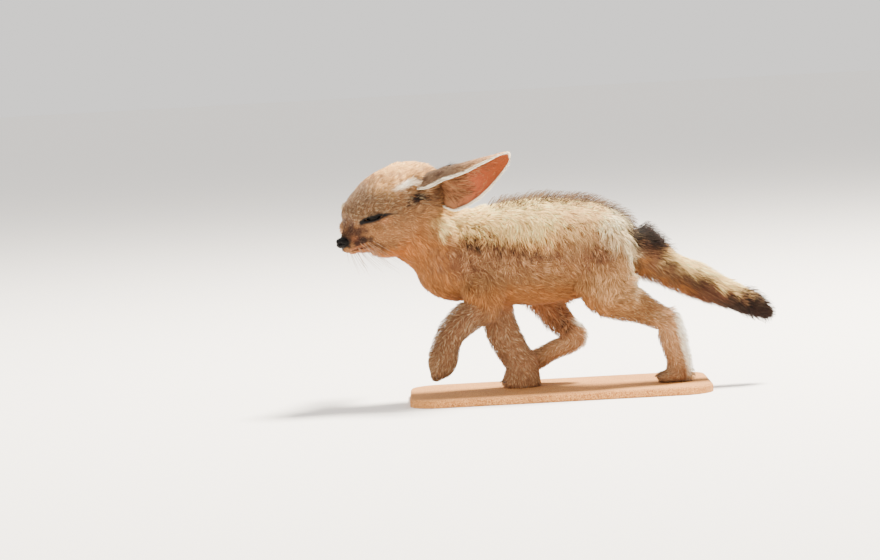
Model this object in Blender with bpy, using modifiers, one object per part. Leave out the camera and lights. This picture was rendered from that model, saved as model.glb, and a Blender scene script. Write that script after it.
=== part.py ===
"""Young fennec fox in mid stride, life size, standing with two paws on a flat display base.

Run with: blender --background --python part.py, or from Blender's text editor.
The fox is laid out in its own body frame, in millimetres: +X from nose to tail, +Y to its right,
+Z up, with the ground under its middle at the origin. STANCE then puts it on the base, in metres.
"""

import math
import random

import bmesh
import bpy
import numpy as np
from mathutils import Matrix, Vector
from mathutils.bvhtree import BVHTree

MM = 0.001
GAP = 0.3  # mm between nodes that touch

# Base plate (mm)
BASE_LENGTH = 300.0
BASE_WIDTH = 150.0
BASE_THICKNESS = 8.0
BASE_CORNER = 30.0
BASE_EDGE = 1.5

# Pose
STRIDE_PITCH = math.radians(3.1)  # the laid-out body is pitched nose up by this on the level base
HEAD_YAW = math.radians(36.0)  # towards the fox's left
HEAD_PITCH = math.radians(20.0)  # nose down
HEAD_CENTRE = (-167.0, -8.0, 179.0)

# Meshing
VOXEL = 1.6  # mm, joins the fleshy lofts
FACE_VOXEL = 1.0
FACE_TRIANGLES = 2300  # head with the start of the neck
TRUNK_TRIANGLES = 1700
LEG_TRIANGLES = 600
TAIL_TRIANGLES = 360

STANCE = Matrix.Translation((0, 0, BASE_THICKNESS * MM)) @ Matrix.Rotation(STRIDE_PITCH, 4, "Y")

# Each loft station is (x, y, z, half-width across, reach up or back, reach down or forward), in mm.
TORSO = [
    (-117, 0, 121, 15, 20, 22),
    (-104, 0, 126, 30, 39, 44),
    (-84, 0, 130, 37, 47, 47),
    (-58, 0, 132, 39, 51, 49),
    (-28, 0, 136, 40, 52, 51),
    (2, 0, 139, 40, 50, 50),
    (27, 0, 142, 38, 45, 47),
    (46, 0, 143, 35, 37, 40),
    (60, 0, 142, 28, 28, 29),
    (70, 0, 140, 15, 14, 15),
]
NECK = [
    (-160, -5, 172, 29, 31, 36),
    (-146, -4, 160, 31, 32, 36),
    (-128, -2, 146, 33, 32, 35),
    (-108, 0, 132, 35, 38, 45),
    (-84, 0, 124, 33, 38, 41),
]
TAIL = [
    (62, 0, 146, 15, 15, 16),
    (76, 0, 141, 19, 18, 20),
    (90, 1, 133, 20, 21, 23),
    (103, 2, 126, 18, 18, 20),
    (116, 3, 119, 17, 16, 18),
    (133, 4, 110, 16, 16, 17),
    (152, 5, 100, 15, 15, 15.5),
    (172, 6, 90.5, 13, 13.5, 13),
    (190, 7, 83, 10, 10.5, 10),
    (203, 8, 76, 5.5, 6, 6),
    (210, 8, 72, 1.2, 1.2, 1.2),
]
UPPER_ARM_LEFT = [
    (-84, -20, 138, 16, 26, 24),
    (-80, -24, 116, 16, 24, 22),
    (-76, -26, 96, 15, 20, 22),
    (-73, -27, 80, 13, 15, 15),
]
FOREARM_LEFT = [
    (-73, -27, 84, 14, 17, 17),
    (-85, -27, 76, 13.5, 15.5, 15.5),
    (-96, -27, 67, 12.5, 13.5, 13.5),
    (-106, -27, 57, 12, 12, 12),
    (-111, -27, 48, 12, 11.5, 11.5),
]
FORE_PAW_LEFT = [
    (-110, -27, 52, 11.5, 11, 11),
    (-113, -27, 41, 12, 12.5, 12.5),
    (-116, -27, 30, 13, 14, 14),
    (-120, -27, 20, 13, 12.5, 12.5),
    (-123.5, -27, 13, 8, 7, 6.5),
]
UPPER_ARM_RIGHT = [
    (-70, 20, 138, 16, 24, 24),
    (-68, 20, 116, 16, 21, 22),
    (-66, 18, 97, 15, 18, 20),
    (-64, 16, 82, 13, 15, 16),
]
FOREARM_RIGHT = [
    (-67, 17, 96, 14, 18, 18),
    (-63, 14, 74, 13, 16.5, 17),
    (-57, 11, 54, 12, 15.5, 16),
    (-49, 9, 38, 12, 15, 15),
    (-42, 8, 27, 12.5, 15, 15),
]
FORE_PAW_RIGHT = [
    (-39, 8, 28, 12.5, 15, 15),
    (-37, 8, 18, 14, 16, 17),
    (-36.5, 8, 9, 15, 17, 19.5),
    (-36.5, 8, 2, 15, 18, 21),
    (-36.5, 8, -6, 13, 16, 18),
]
THIGH_LEFT = [
    (40, -18, 152, 16, 30, 30),
    (41, -22, 124, 18, 31, 32),
    (44, -24, 102, 18, 31, 31),
    (45, -25, 88, 15, 20, 22),
]
SHANK_LEFT = [
    (43, -25, 93, 15, 22, 20),
    (61, -25, 87, 14, 21, 19),
    (77, -24, 80, 12, 17, 14.5),
    (92, -23, 73, 10.5, 13, 11.5),
    (105, -22, 67, 10, 11, 10),
]
HIND_FOOT_LEFT = [
    (106, -22, 74, 9, 8, 8),
    (108.5, -21, 58, 10.5, 12, 11.5),
    (113, -20, 41, 10.5, 12, 11.5),
    (117, -19, 28, 11, 11.5, 11.5),
    (118, -19, 18, 11.5, 12, 12.5),
]
HIND_PAW_LEFT = [
    (126, -19, 15, 8, 9, 8),
    (118, -19, 13, 12.5, 10, 11),
    (110, -19, 12, 13.5, 9, 8),
    (102, -19, 11, 12, 8, 5.5),
]
THIGH_RIGHT = [
    (35, 20, 148, 16, 30, 30),
    (14, 23, 122, 17, 29, 28),
    (-6, 25, 103, 15, 24, 22),
    (-18, 26, 90, 12, 15, 15),
]
SHANK_RIGHT = [
    (-16, 26, 94, 13, 17, 17),
    (-7, 27, 79, 12, 14, 14),
    (2, 28, 65, 11, 11.5, 12),
    (12, 29, 54, 10, 11, 11.5),
    (21, 30, 47, 8.5, 9, 9),
]
HIND_FOOT_RIGHT = [
    (22.5, 30, 45, 8, 7, 7),
    (12, 31, 40, 9, 9, 9),
    (0, 33, 35, 9.5, 9.5, 9.5),
    (-12, 35, 29, 10, 9.5, 9.5),
]
HIND_PAW_RIGHT = [
    (-8, 35, 31, 10, 9.5, 9.5),
    (-22, 36, 23, 11, 10.5, 10.5),
    (-33, 37, 16, 11.5, 9, 9),
    (-38, 37, 12, 8, 6, 6),
]

# Head stations: (forward, above the axis, half-width, reach up, reach down), in mm of the head frame.
SKULL = [
    (66, -12.5, 7, 9, 9.5),
    (59, -12, 10, 14.5, 13),
    (50, -11, 14.5, 25, 19),
    (42, -8, 20, 32, 26),
    (31, -6, 27, 37, 35),
    (13, -4, 36, 42, 43),
    (-7, -3, 39, 43, 46),
    (-24, -2, 38, 40, 44),
    (-38, -2, 31, 34, 36),
    (-50, -2, 16, 19, 20),
]
MUZZLE_PADS = ((58.0, 5.5, -14.5), (9.0, 6.0, 6.0))  # centre (near side) and radii of each upper lip
CHIN = ((58.0, 0.0, -21.5), (6.5, 6.0, 4.5))
EAR_MOUND = ((-20.0, 17.0, 15.0), (26.0, 20.0, 20.0))  # swelling of the skull in front of each ear

EYE_RADIUS = 7.4
EYE_CENTRE = (34.6, 14.9, 3.9)  # near eye: forward, left, up
EYE_FACING = (0.53, 0.84, 0.09)
EYE_LINE = (-0.85, 0.52, -0.08)  # along the slit, from its inner corner
LID_RADII = (12.5, 9.0, 10.0)  # along the slit, up, out
SLIT = (8.4, 1.5)  # half length, half height of the opening

NOSE_CENTRE = (68.6, 0.0, -9.6)
NOSE_RADII = (5.2, 6.2, 4.7)
NOSTRILS = [((72.4, 2.7, -9.2), (3.0, 1.3, 1.1)), ((70.6, 5.2, -10.0), (2.2, 1.6, 0.6))]  # hole and its side slit
MOUTH = [(67.0, 0.0, -18.5), (64.0, 4.0, -19.5), (58.0, 7.5, -20.5), (50.0, 11.0, -21.5), (42.0, 14.5, -23.0)]
LIP_RADIUS = 1.7
LIP_OFFSET = 1.75  # of each lip's middle from the line of the mouth
LID_RIM = (1.5, 3.1, 8.0)  # radius, distance from the slit's middle line and from the eye's centre

EAR_LENGTH = 92.0
EAR_BURIED = 24.0
# Along the ear: distance from the root, developed width, turn of the whole sheet and where it starts (degrees)
EAR_PROFILE = [
    (-24, 46, 238, -93),
    (-10, 56, 230, -85),
    (5, 62, 215, -72),
    (20, 62, 200, -62),
    (35, 59, 190, -55),
    (48, 54, 180, -50),
    (60, 45, 165, -46),
    (70, 34, 150, -42),
    (80, 20, 130, -38),
    (88, 9, 110, -35),
    (92, 3, 100, -35),
]
EAR_THICKNESS = 1.5
# Each ear: root and tip of its top ridge, direction its cup faces, and its hand
EARS = {
    "ear_left": ((-136, -22, 213), (-51, -48, 235), (-0.10, -0.90, -0.42), 1),
    "ear_right": ((-169, 20, 206), (-150, 107, 193), (-0.88, 0.18, -0.42), -1),
}

# Leg cuts: point on the plane, normal towards the paw, half sizes of the cell that clears the trunk
LEG_CUTS = {
    "foreleg_left": ((-76, -27, 84), (-0.30, 0, -0.95), (24, 17)),
    "foreleg_right": ((-66, 17, 83), (0.10, 0, -0.99), (24, 17)),
    "hindleg_left": ((50, -24, 98), (0.27, 0, -0.96), (40, 22)),
    "hindleg_right": ((-15, 26, 86), (-0.10, 0, -0.99), (32, 21)),
}
# Further cuts down each leg: name of what lies beyond, point, normal
LEG_SPLITS = {
    "foreleg_left": [("forepaw_left", (-111, -27, 47), (-0.27, 0, -0.96))],
    "foreleg_right": [("forepaw_right", (-44, 9, 30), (0.42, 0, -0.91))],
    "hindleg_left": [
        ("hindfoot_left", (104, -22, 64), (0.2, 0, -0.98)),
        ("hindpaw_left", (117, -19, 25), (0.0, 0, -1.0)),
    ],
    "hindleg_right": [
        ("hindfoot_right", (9, 30, 47), (-0.35, 0, -0.94)),
        ("hindpaw_right", (-14, 35, 28), (-0.86, 0, -0.5)),
    ],
}
# Paws: middle of the toe row, direction the toes point, spread across, toe radius
TOES = {
    "foreleg_left": ((-121.5, -27, 14.5), (-0.35, 0, -0.94), 7.6, 5.4),
    "foreleg_right": ((-51, 8, 3.5), (-1, 0, -0.05), 9.6, 6.4),
    "hindleg_left": ((101.5, -19, 12), (-1, 0, -0.05), 8.6, 5.6),
    "hindleg_right": ((-36, 37, 14.5), (-0.8, 0, -0.6), 7.6, 5.2),
}
CLAW = (4.6, 1.15)  # length and root radius

LEGS = {
    "foreleg_left": [UPPER_ARM_LEFT, FOREARM_LEFT, FORE_PAW_LEFT],
    "foreleg_right": [UPPER_ARM_RIGHT, FOREARM_RIGHT, FORE_PAW_RIGHT],
    "hindleg_left": [THIGH_LEFT, SHANK_LEFT, HIND_FOOT_LEFT, HIND_PAW_LEFT],
    "hindleg_right": [THIGH_RIGHT, SHANK_RIGHT, HIND_FOOT_RIGHT, HIND_PAW_RIGHT],
}
HEAD_CUT = ((-144, -4, 158), (0.9, 0, -0.43))
NECK_CUT = ((-111, 0, 131), (0.98, 0, -0.2))
TAIL_CUTS = [((116, 3, 119), (0.87, 0, -0.48)), ((168, 6, 92), (0.9, 0, -0.42))]
SLOTS = {
    "tail_tip": "fur_dark",
    "nose": "nose_leather",
    "eye_left": "eye_glass",
    "eye_right": "eye_glass",
    "stand_base": "base_board",
}

# Coat: the trunk's core lies this far under the outline, the tail's core is this share of it
TRUNK_CORE_DEPTH = 7.0
NECK_CORE_DEPTH = 5.5
BELLY_CORE_DEPTH = 3.0
LEG_BLEND = (6.0, 30.0)  # distances from a leg's cut over which the core sinks
HEAD_BLEND = (3.0, 22.0)
TAIL_CORE = 0.56
# Locks: share of the length, of the width and of the thickness at each ring; the tip comes last
LOCK_STEPS = ((0.0, 0.62, 1.0), (0.32, 1.0, 0.95), (0.70, 0.72, 0.7), (1.0, 0.0, 0.0))
LOCK_LIFT = (-0.6, 0.30, 0.80, 1.05)  # height of each step: 0 at the core, 1 at the outline
FRONT_LIFT = (0.0, 0.62, 0.92, 1.05)  # the same for the first lock behind a cut
FRONT_ROOT = 2.2  # its root is this much thicker
LOCK_ROWS = 0.54  # from one lock to the next along a column, as a share of the length
LOCK_SEED = 7
BRISTLES = 0.3  # how much further the tips along the back stand out
# Per node: axis, from and to along it, lock length, thickness, columns, arc (degrees, 90 is up), fall of the lie
COATS = {
    "neck": ("NECK", 0.0, 74.0, 25.0, 2.6, 10, (-90, 270), 4.0),
    "torso": ("TORSO", 0.0, 184.0, 40.0, 2.8, 8, (-32, 212), 7.0),
    "tail_root": ("TAIL", 14.0, 66.0, 29.0, 2.4, 6, (-90, 270), 0.0),
    "tail_middle": ("TAIL", 52.0, 124.0, 29.0, 2.2, 6, (-90, 270), 0.0),
    "tail_tip": ("TAIL", 110.0, 167.0, 26.0, 2.0, 5, (-90, 270), 0.0),
}

GROUND = Vector((-math.sin(STRIDE_PITCH), 0, math.cos(STRIDE_PITCH)))


def clear_scene():
    """Removes whatever the scene holds."""
    for obj in list(bpy.data.objects):
        bpy.data.objects.remove(obj, do_unlink=True)


def collection(name):
    """A new collection linked to the scene."""
    made = bpy.data.collections.new(name)
    bpy.context.scene.collection.children.link(made)
    return made


def material(name, colour, roughness):
    """A Principled BSDF in one colour."""
    made = bpy.data.materials.new(name)
    made.use_nodes = True
    shader = made.node_tree.nodes["Principled BSDF"]
    shader.inputs["Base Color"].default_value = (*colour, 1.0)
    shader.inputs["Roughness"].default_value = roughness
    made.diffuse_color = (*colour, 1.0)
    return made


def head_matrix():
    """Head frame to body frame, in mm: columns are forward, left and up."""
    cp, sp = math.cos(HEAD_PITCH), math.sin(HEAD_PITCH)
    cy, sy = math.cos(HEAD_YAW), math.sin(HEAD_YAW)
    forward = Vector((-cp * cy, -cp * sy, -sp))
    left = Vector((sy, -cy, 0.0))
    up = left.cross(forward) * -1.0
    made = Matrix((forward, left, up)).transposed().to_4x4()
    made.translation = Vector(HEAD_CENTRE)
    return made


HEAD = head_matrix()


def smooth_stations(stations, count):
    """Catmull-Rom curve through the stations, at count even steps of arc length."""
    rows = np.array(stations, float)
    padded = np.vstack([2 * rows[0] - rows[1], rows, 2 * rows[-1] - rows[-2]])
    steps = np.linalg.norm(np.diff(rows[:, :3], axis=0), axis=1)
    marks = np.concatenate([[0.0], np.cumsum(steps)])
    wanted = np.linspace(0.0, marks[-1], count)
    index = np.clip(np.searchsorted(marks, wanted, side="right") - 1, 0, len(rows) - 2)
    t = ((wanted - marks[index]) / steps[index])[:, None]
    p0, p1, p2, p3 = (padded[index + k] for k in range(4))
    return 0.5 * (
        2 * p1 + (p2 - p0) * t + (2 * p0 - 5 * p1 + 4 * p2 - p3) * t**2 + (3 * p1 - p0 - 3 * p2 + p3) * t**3
    )


def ring_axes(centres, across=(0.0, 1.0, 0.0)):
    """Tangent, side and up directions of the rings along a path."""
    tangent = np.gradient(centres, axis=0)
    tangent /= np.linalg.norm(tangent, axis=1)[:, None]
    side = np.array(across) - tangent * (tangent @ np.array(across))[:, None]
    side /= np.linalg.norm(side, axis=1)[:, None]
    return tangent, side, np.cross(tangent, side)


def loft_rings(stations, rings, sides, cap=0.75):
    """Rings of an elliptic tube with rounded ends, as an array (rings, sides, 3)."""
    rows = smooth_stations(stations, rings)
    centres, half, up, down = rows[:, :3], rows[:, 3], rows[:, 4], rows[:, 5]
    tangent, side, rise = ring_axes(centres)
    turn = np.linspace(0.0, 2 * math.pi, sides, endpoint=False)
    cosine, sine = np.cos(turn)[None, :, None], np.sin(turn)[None, :, None]
    reach = np.where(np.sin(turn)[None, :] >= 0, up[:, None], down[:, None])[:, :, None]
    offset = side[:, None, :] * half[:, None, None] * cosine + rise[:, None, :] * reach * sine
    body = centres[:, None, :] + offset
    ends = []
    for at, way in ((0, -1.0), (-1, 1.0)):
        depth = cap * min(half[at], 0.5 * (up[at] + down[at]))
        for angle in (math.radians(70), math.radians(40)):
            centre = centres[at] + way * tangent[at] * depth * math.sin(angle)
            ends.append(centre[None, :] + offset[at] * math.cos(angle))
    return np.concatenate([[ends[0]], [ends[1]], body, [ends[3]], [ends[2]]])


def mesh_of_rings(name, rings, tip=None):
    """A closed mesh from rings of points, with a fan at each end; the last fan may run to a tip."""
    count, sides = rings.shape[:2]
    points = [Vector(p) for p in rings.reshape(-1, 3)]
    points += [Vector(rings[0].mean(axis=0)), Vector(rings[-1].mean(axis=0) if tip is None else tip)]
    faces = []
    for i in range(count - 1):
        for j in range(sides):
            k = (j + 1) % sides
            faces.append((i * sides + j, i * sides + k, (i + 1) * sides + k, (i + 1) * sides + j))
    first, last = count * sides, count * sides + 1
    for j in range(sides):
        k = (j + 1) % sides
        faces.append((first, k, j))
        faces.append((last, (count - 1) * sides + j, (count - 1) * sides + k))
    mesh = bpy.data.meshes.new(name)
    mesh.from_pydata(points, [], faces)
    shell = bmesh.new()
    shell.from_mesh(mesh)
    bmesh.ops.recalc_face_normals(shell, faces=shell.faces)
    shell.to_mesh(mesh)
    shell.free()
    return mesh


def new_object(name, mesh, home):
    """An object for the mesh, in the home collection."""
    made = bpy.data.objects.new(name, mesh)
    home.objects.link(made)
    return made


def limb(name, stations, home, rings=9, sides=20):
    """A loft in the body frame, in mm."""
    return new_object(name, mesh_of_rings(name, loft_rings(stations, rings, sides)), home)


def skull_rings(rings, sides):
    """The head's loft, from muzzle to nape, in the body frame."""
    stations = [(f, 0.0, c, w, u, d) for f, c, w, u, d in reversed(SKULL)]
    local = loft_rings(stations, rings, sides)
    placed = np.array([HEAD @ Vector(p) for p in local.reshape(-1, 3)])
    return placed.reshape(local.shape)


def ball(name, centre, radii, home, segments=16):
    """A UV sphere scaled to an ellipsoid, as plain points in the body frame."""
    shell = bmesh.new()
    bmesh.ops.create_uvsphere(shell, u_segments=segments, v_segments=segments // 2 + 2, radius=1.0)
    bmesh.ops.scale(shell, vec=Vector(radii), verts=shell.verts)
    bmesh.ops.translate(shell, vec=Vector(centre), verts=shell.verts)
    mesh = bpy.data.meshes.new(name)
    shell.to_mesh(mesh)
    shell.free()
    return new_object(name, mesh, home)


def join(objects, name, home):
    """One object with all the meshes; the given ones are removed."""
    shell = bmesh.new()
    for obj in objects:
        shell.from_mesh(obj.data)
        bpy.data.objects.remove(obj)
    mesh = bpy.data.meshes.new(name)
    shell.to_mesh(mesh)
    shell.free()
    return new_object(name, mesh, home)


def apply_modifiers(obj):
    """Gives the object its evaluated mesh and drops the modifiers."""
    bpy.context.view_layer.update()
    depsgraph = bpy.context.evaluated_depsgraph_get()
    mesh = bpy.data.meshes.new_from_object(obj.evaluated_get(depsgraph))
    obj.modifiers.clear()
    obj.data = mesh
    return obj


def fuse(objects, name, home, triangles, voxel=VOXEL, relax=4):
    """Joins overlapping lofts into one smooth closed surface of about that many triangles."""
    whole = join(objects, name, home)
    remesh = whole.modifiers.new("Fuse", "REMESH")
    remesh.mode = "VOXEL"
    remesh.voxel_size = voxel
    smooth = whole.modifiers.new("Relax", "SMOOTH")
    smooth.factor = 0.5
    smooth.iterations = relax
    apply_modifiers(whole)
    decimate = whole.modifiers.new("Thin", "DECIMATE")
    decimate.ratio = triangles / (2.0 * len(whole.data.polygons))
    return apply_modifiers(whole)


def keep_largest(obj):
    """Drops every closed surface but the one that encloses most."""
    shell = bmesh.new()
    shell.from_mesh(obj.data)
    triangulated(shell)
    left = set(shell.verts)
    islands = []
    while left:
        stack = [left.pop()]
        island = set(stack)
        while stack:
            for edge in stack.pop().link_edges:
                for vert in edge.verts:
                    if vert in left:
                        left.discard(vert)
                        island.add(vert)
                        stack.append(vert)
        islands.append(island)

    def volume(island):
        faces = {face for vert in island for face in vert.link_faces}
        total = 0.0
        for face in faces:
            a, b, c = (v.co for v in face.verts)
            total += a.dot(b.cross(c)) / 6.0
        return abs(total)

    if len(islands) > 1:
        islands.sort(key=volume, reverse=True)
        drop = [vert for island in islands[1:] for vert in island]
        bmesh.ops.delete(shell, geom=drop, context="VERTS")
    shell.to_mesh(obj.data)
    shell.free()
    return obj


def boolean(obj, other, operation, solver="MANIFOLD"):
    """Applies one Boolean with another object, which is then removed."""
    cut = obj.modifiers.new(operation.title(), "BOOLEAN")
    cut.operation = operation
    cut.solver = solver
    cut.object = other
    apply_modifiers(obj)
    bpy.data.objects.remove(other)
    return keep_largest(obj)


def copy_of(obj, name):
    """A copy with a mesh of its own, in the same collection."""
    made = obj.copy()
    made.data = obj.data.copy()
    made.name = name
    obj.users_collection[0].objects.link(made)
    return made


def inflated(obj, by):
    """A copy grown along its normals, used to cut clearance."""
    grown = copy_of(obj, obj.name + "_clearance")
    shell = bmesh.new()
    shell.from_mesh(grown.data)
    shell.normal_update()
    for vert in shell.verts:
        vert.co += vert.normal * by
    shell.to_mesh(grown.data)
    shell.free()
    return grown


def half(obj, point, normal, name):
    """The part of a closed object on the normal's side of a plane, GAP / 2 back from it, as a new object."""
    made = copy_of(obj, name)
    normal = Vector(normal).normalized()
    point = Vector(point) + normal * (GAP / 2)
    shell = bmesh.new()
    shell.from_mesh(made.data)
    geometry = shell.verts[:] + shell.edges[:] + shell.faces[:]
    cut = bmesh.ops.bisect_plane(
        shell, geom=geometry, dist=1e-4, plane_co=point, plane_no=normal, clear_inner=True
    )
    edges = [e for e in cut["geom_cut"] if isinstance(e, bmesh.types.BMEdge)]
    bmesh.ops.triangle_fill(shell, edges=edges, use_beauty=True, normal=-normal)
    bmesh.ops.triangulate(shell, faces=shell.faces)
    bmesh.ops.recalc_face_normals(shell, faces=shell.faces)
    shell.to_mesh(made.data)
    shell.free()
    return keep_largest(made)


def split(obj, point, normal, before, after):
    """Parts an object with one thin cut; returns the piece behind the plane and the one in front."""
    behind = half(obj, point, [-n for n in normal], before)
    ahead = half(obj, point, normal, after)
    bpy.data.objects.remove(obj)
    return behind, ahead


def triangulated(shell):
    """Triangulates faces; where two of them would share a diagonal, one gets a vertex in its middle."""
    bmesh.ops.triangulate(shell, faces=shell.faces)
    for edge in [e for e in shell.edges if len(e.link_faces) == 4]:
        faces = list(edge.link_faces)
        if len(faces) != 4:
            continue
        ways = [next(loop.vert for loop in face.loops if loop.edge == edge) for face in faces]
        other = [face for face, way in zip(faces, ways) if way != ways[0]]
        twin = max(other, key=lambda face: face.normal.dot(faces[0].normal))
        if set(twin.verts) == set(faces[0].verts):
            shell.faces.remove(faces[0])
            shell.faces.remove(twin)
            continue
        ends = edge.verts[:]
        middle = shell.verts.new((ends[0].co + ends[1].co) / 2)
        for face in (faces[0], twin):
            loop = face.verts[:]
            shell.faces.remove(face)
            for end in ends:
                shell.faces.new([middle if vert is end else vert for vert in loop])
    bmesh.ops.delete(shell, geom=[e for e in shell.edges if e.is_wire], context="EDGES")
    bmesh.ops.delete(shell, geom=[v for v in shell.verts if not v.link_faces], context="VERTS")


def collapse_short(shell, distance):
    """Merges the ends of edges shorter than the distance wherever the surface stays closed."""
    for _ in range(4):
        short = sorted((e for e in shell.edges if e.calc_length() < distance), key=lambda e: e.calc_length())
        done = False
        for edge in short:
            if not edge.is_valid or edge.calc_length() >= distance:
                continue
            a, b = edge.verts
            near = {e.other_vert(a) for e in a.link_edges} & {e.other_vert(b) for e in b.link_edges}
            if len(near) != 2:
                continue
            bmesh.ops.pointmerge(shell, verts=[a, b], merge_co=(a.co + b.co) / 2)
            done = True
        if not done:
            break


def tidy(obj):
    """Leaves an object's mesh as triangles, with no edge too short to matter."""
    shell = bmesh.new()
    shell.from_mesh(obj.data)
    triangulated(shell)
    collapse_short(shell, 0.05)
    shell.to_mesh(obj.data)
    shell.free()
    return obj


def box(name, low, high, home, turn=None):
    """A box between two corners, turned about its middle."""
    low, high = Vector(low), Vector(high)
    shell = bmesh.new()
    bmesh.ops.create_cube(shell, size=1.0)
    bmesh.ops.scale(shell, vec=high - low, verts=shell.verts)
    if turn is not None:
        bmesh.ops.transform(shell, matrix=turn.to_4x4(), verts=shell.verts)
    bmesh.ops.translate(shell, vec=(low + high) / 2, verts=shell.verts)
    mesh = bpy.data.meshes.new(name)
    shell.to_mesh(mesh)
    shell.free()
    return new_object(name, mesh, home)


def tube(name, points, radii, home, resolution=2):
    """A closed round tube along the points, with a radius at each."""
    curve = bpy.data.curves.new(name, "CURVE")
    curve.dimensions = "3D"
    curve.bevel_depth = 1.0
    curve.bevel_resolution = resolution
    curve.use_fill_caps = True
    spline = curve.splines.new("POLY")
    spline.points.add(len(points) - 1)
    for at, place, radius in zip(spline.points, points, radii):
        at.co = (*place, 1.0)
        at.radius = radius
    wire = new_object(name, curve, home)
    bpy.context.view_layer.update()
    shape = wire.evaluated_get(bpy.context.evaluated_depsgraph_get())
    mesh = bpy.data.meshes.new_from_object(shape)
    bpy.data.objects.remove(wire)
    shell = bmesh.new()
    shell.from_mesh(mesh)
    bmesh.ops.remove_doubles(shell, verts=shell.verts, dist=1e-4)
    bmesh.ops.recalc_face_normals(shell, faces=shell.faces)
    shell.to_mesh(mesh)
    shell.free()
    return new_object(name, mesh, home)


def smooth_step(low, high, value):
    """0 below low, 1 above high and an even ease between."""
    t = min(max((value - low) / (high - low), 0.0), 1.0)
    return t * t * (3.0 - 2.0 * t)


def core_depth(point, normal):
    """How far the trunk's core lies under its outline there."""
    head_point, head_normal = Vector(HEAD_CUT[0]), Vector(HEAD_CUT[1]).normalized()
    depth = NECK_CORE_DEPTH + (TRUNK_CORE_DEPTH - NECK_CORE_DEPTH) * smooth_step(-120, -90, point.x)
    under = smooth_step(0.2, 0.8, -normal.z) * smooth_step(-100, -70, point.x)
    depth += (BELLY_CORE_DEPTH - depth) * under
    depth *= smooth_step(*HEAD_BLEND, (point - head_point).dot(head_normal))
    for at, way, _ in LEG_CUTS.values():
        away = Vector(at) - point
        rise = away.dot(Vector(way).normalized())
        across = (away + Vector(way).normalized() * -rise).length
        near = max(rise, across - 26.0)
        depth *= smooth_step(*LEG_BLEND, near)
    return depth


def sunk_core(outline, name, home, triangles):
    """The outline drawn in by the coat's free depth, as one closed surface."""
    core = copy_of(outline, name + "_sunk")
    shell = bmesh.new()
    shell.from_mesh(core.data)
    shell.normal_update()
    for vert in shell.verts:
        vert.co -= vert.normal * core_depth(vert.co, vert.normal)
    shell.to_mesh(core.data)
    shell.free()
    return fuse([core], name, home, triangles)


class Lie:
    """The axis that a coat's locks follow, with the surfaces of the core and of the outline round it."""

    def __init__(self, stations, core, outline, steps=120):
        depsgraph = bpy.context.evaluated_depsgraph_get()
        self.centres = smooth_stations(stations, steps)[:, :3]
        self.tangent, self.side, self.rise = ring_axes(self.centres)
        lengths = np.linalg.norm(np.diff(self.centres, axis=0), axis=1)
        self.marks = np.concatenate([[0.0], np.cumsum(lengths)])
        self.core = BVHTree.FromObject(core, depsgraph)
        self.outline = BVHTree.FromObject(outline, depsgraph)

    def blend(self, rows, mark):
        """Rows interpolated at a length along the axis."""
        return np.array([np.interp(mark, self.marks, rows[:, k]) for k in range(3)])

    def frame(self, mark, turn):
        """Point on the axis, tangent, and the outward and sideways directions at an angle round it."""
        tangent, side, rise = (self.blend(rows, mark) for rows in (self.tangent, self.side, self.rise))
        out = side * math.cos(turn) + rise * math.sin(turn)
        out -= tangent * out.dot(tangent)
        out /= np.linalg.norm(out)
        return self.blend(self.centres, mark), tangent, out, np.cross(tangent, out)

    def reach(self, mark, turn):
        """Distances from the axis to the core and to the outline."""
        centre, _, out, _ = self.frame(mark, turn)
        found = []
        for tree in (self.core, self.outline):
            hit = tree.ray_cast(Vector(centre), Vector(out))
            found.append(hit[3] if hit[0] is not None else None)
        return found


def lock(lie, start, length, turn, spread, shape, front, lift):
    """One flat, tapered, bent lock, or None where the axis's rays find no coat."""
    _, _, _, _, thickness, _, _, fall = shape
    rings = []
    for (share, wide, thick), height in zip(LOCK_STEPS, FRONT_LIFT if front else LOCK_LIFT):
        mark = min(start + length * share, lie.marks[-1] - 0.3)
        angle = turn - math.radians(fall) * share * math.cos(turn)
        inner, outer = lie.reach(mark, angle)
        if inner is None or outer is None or outer - inner < 0.4:
            return None
        centre, tangent, out, across = lie.frame(mark, angle)
        level = inner + (outer - inner) * height * (lift if height > 0.7 else 1.0)
        level = max(level, inner - 4.0, 0.5 * inner)
        if wide == 0.0:
            return np.array(rings), centre + out * level
        if front and share == 0.0:
            wide, thick = 1.0, thick * FRONT_ROOT
        half_width = 0.5 * spread * outer * wide
        ridge = out * min(thickness * thick, 0.5 * outer)
        middle = centre + out * level
        rings.append([middle + across * half_width, middle + ridge, middle - across * half_width])
    return None


def column_range(lie, turn, first, last, planes):
    """Where a column of locks may run along the axis between the node's cuts."""
    fits = []
    for mark in np.arange(first, last, 1.0):
        inner, outer = lie.reach(mark, turn)
        if inner is None or outer is None:
            continue
        centre, _, out, _ = lie.frame(mark, turn)
        low, high = Vector(centre + out * (inner - 3.0)), Vector(centre + out * (outer + 1.0))
        if all(min((p - Vector(at)).dot(Vector(way).normalized()) for p in (low, high)) > 0.7 for at, way in planes):
            fits.append(mark)
    return (fits[0], fits[-1]) if fits else (0.0, 0.0)


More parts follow.
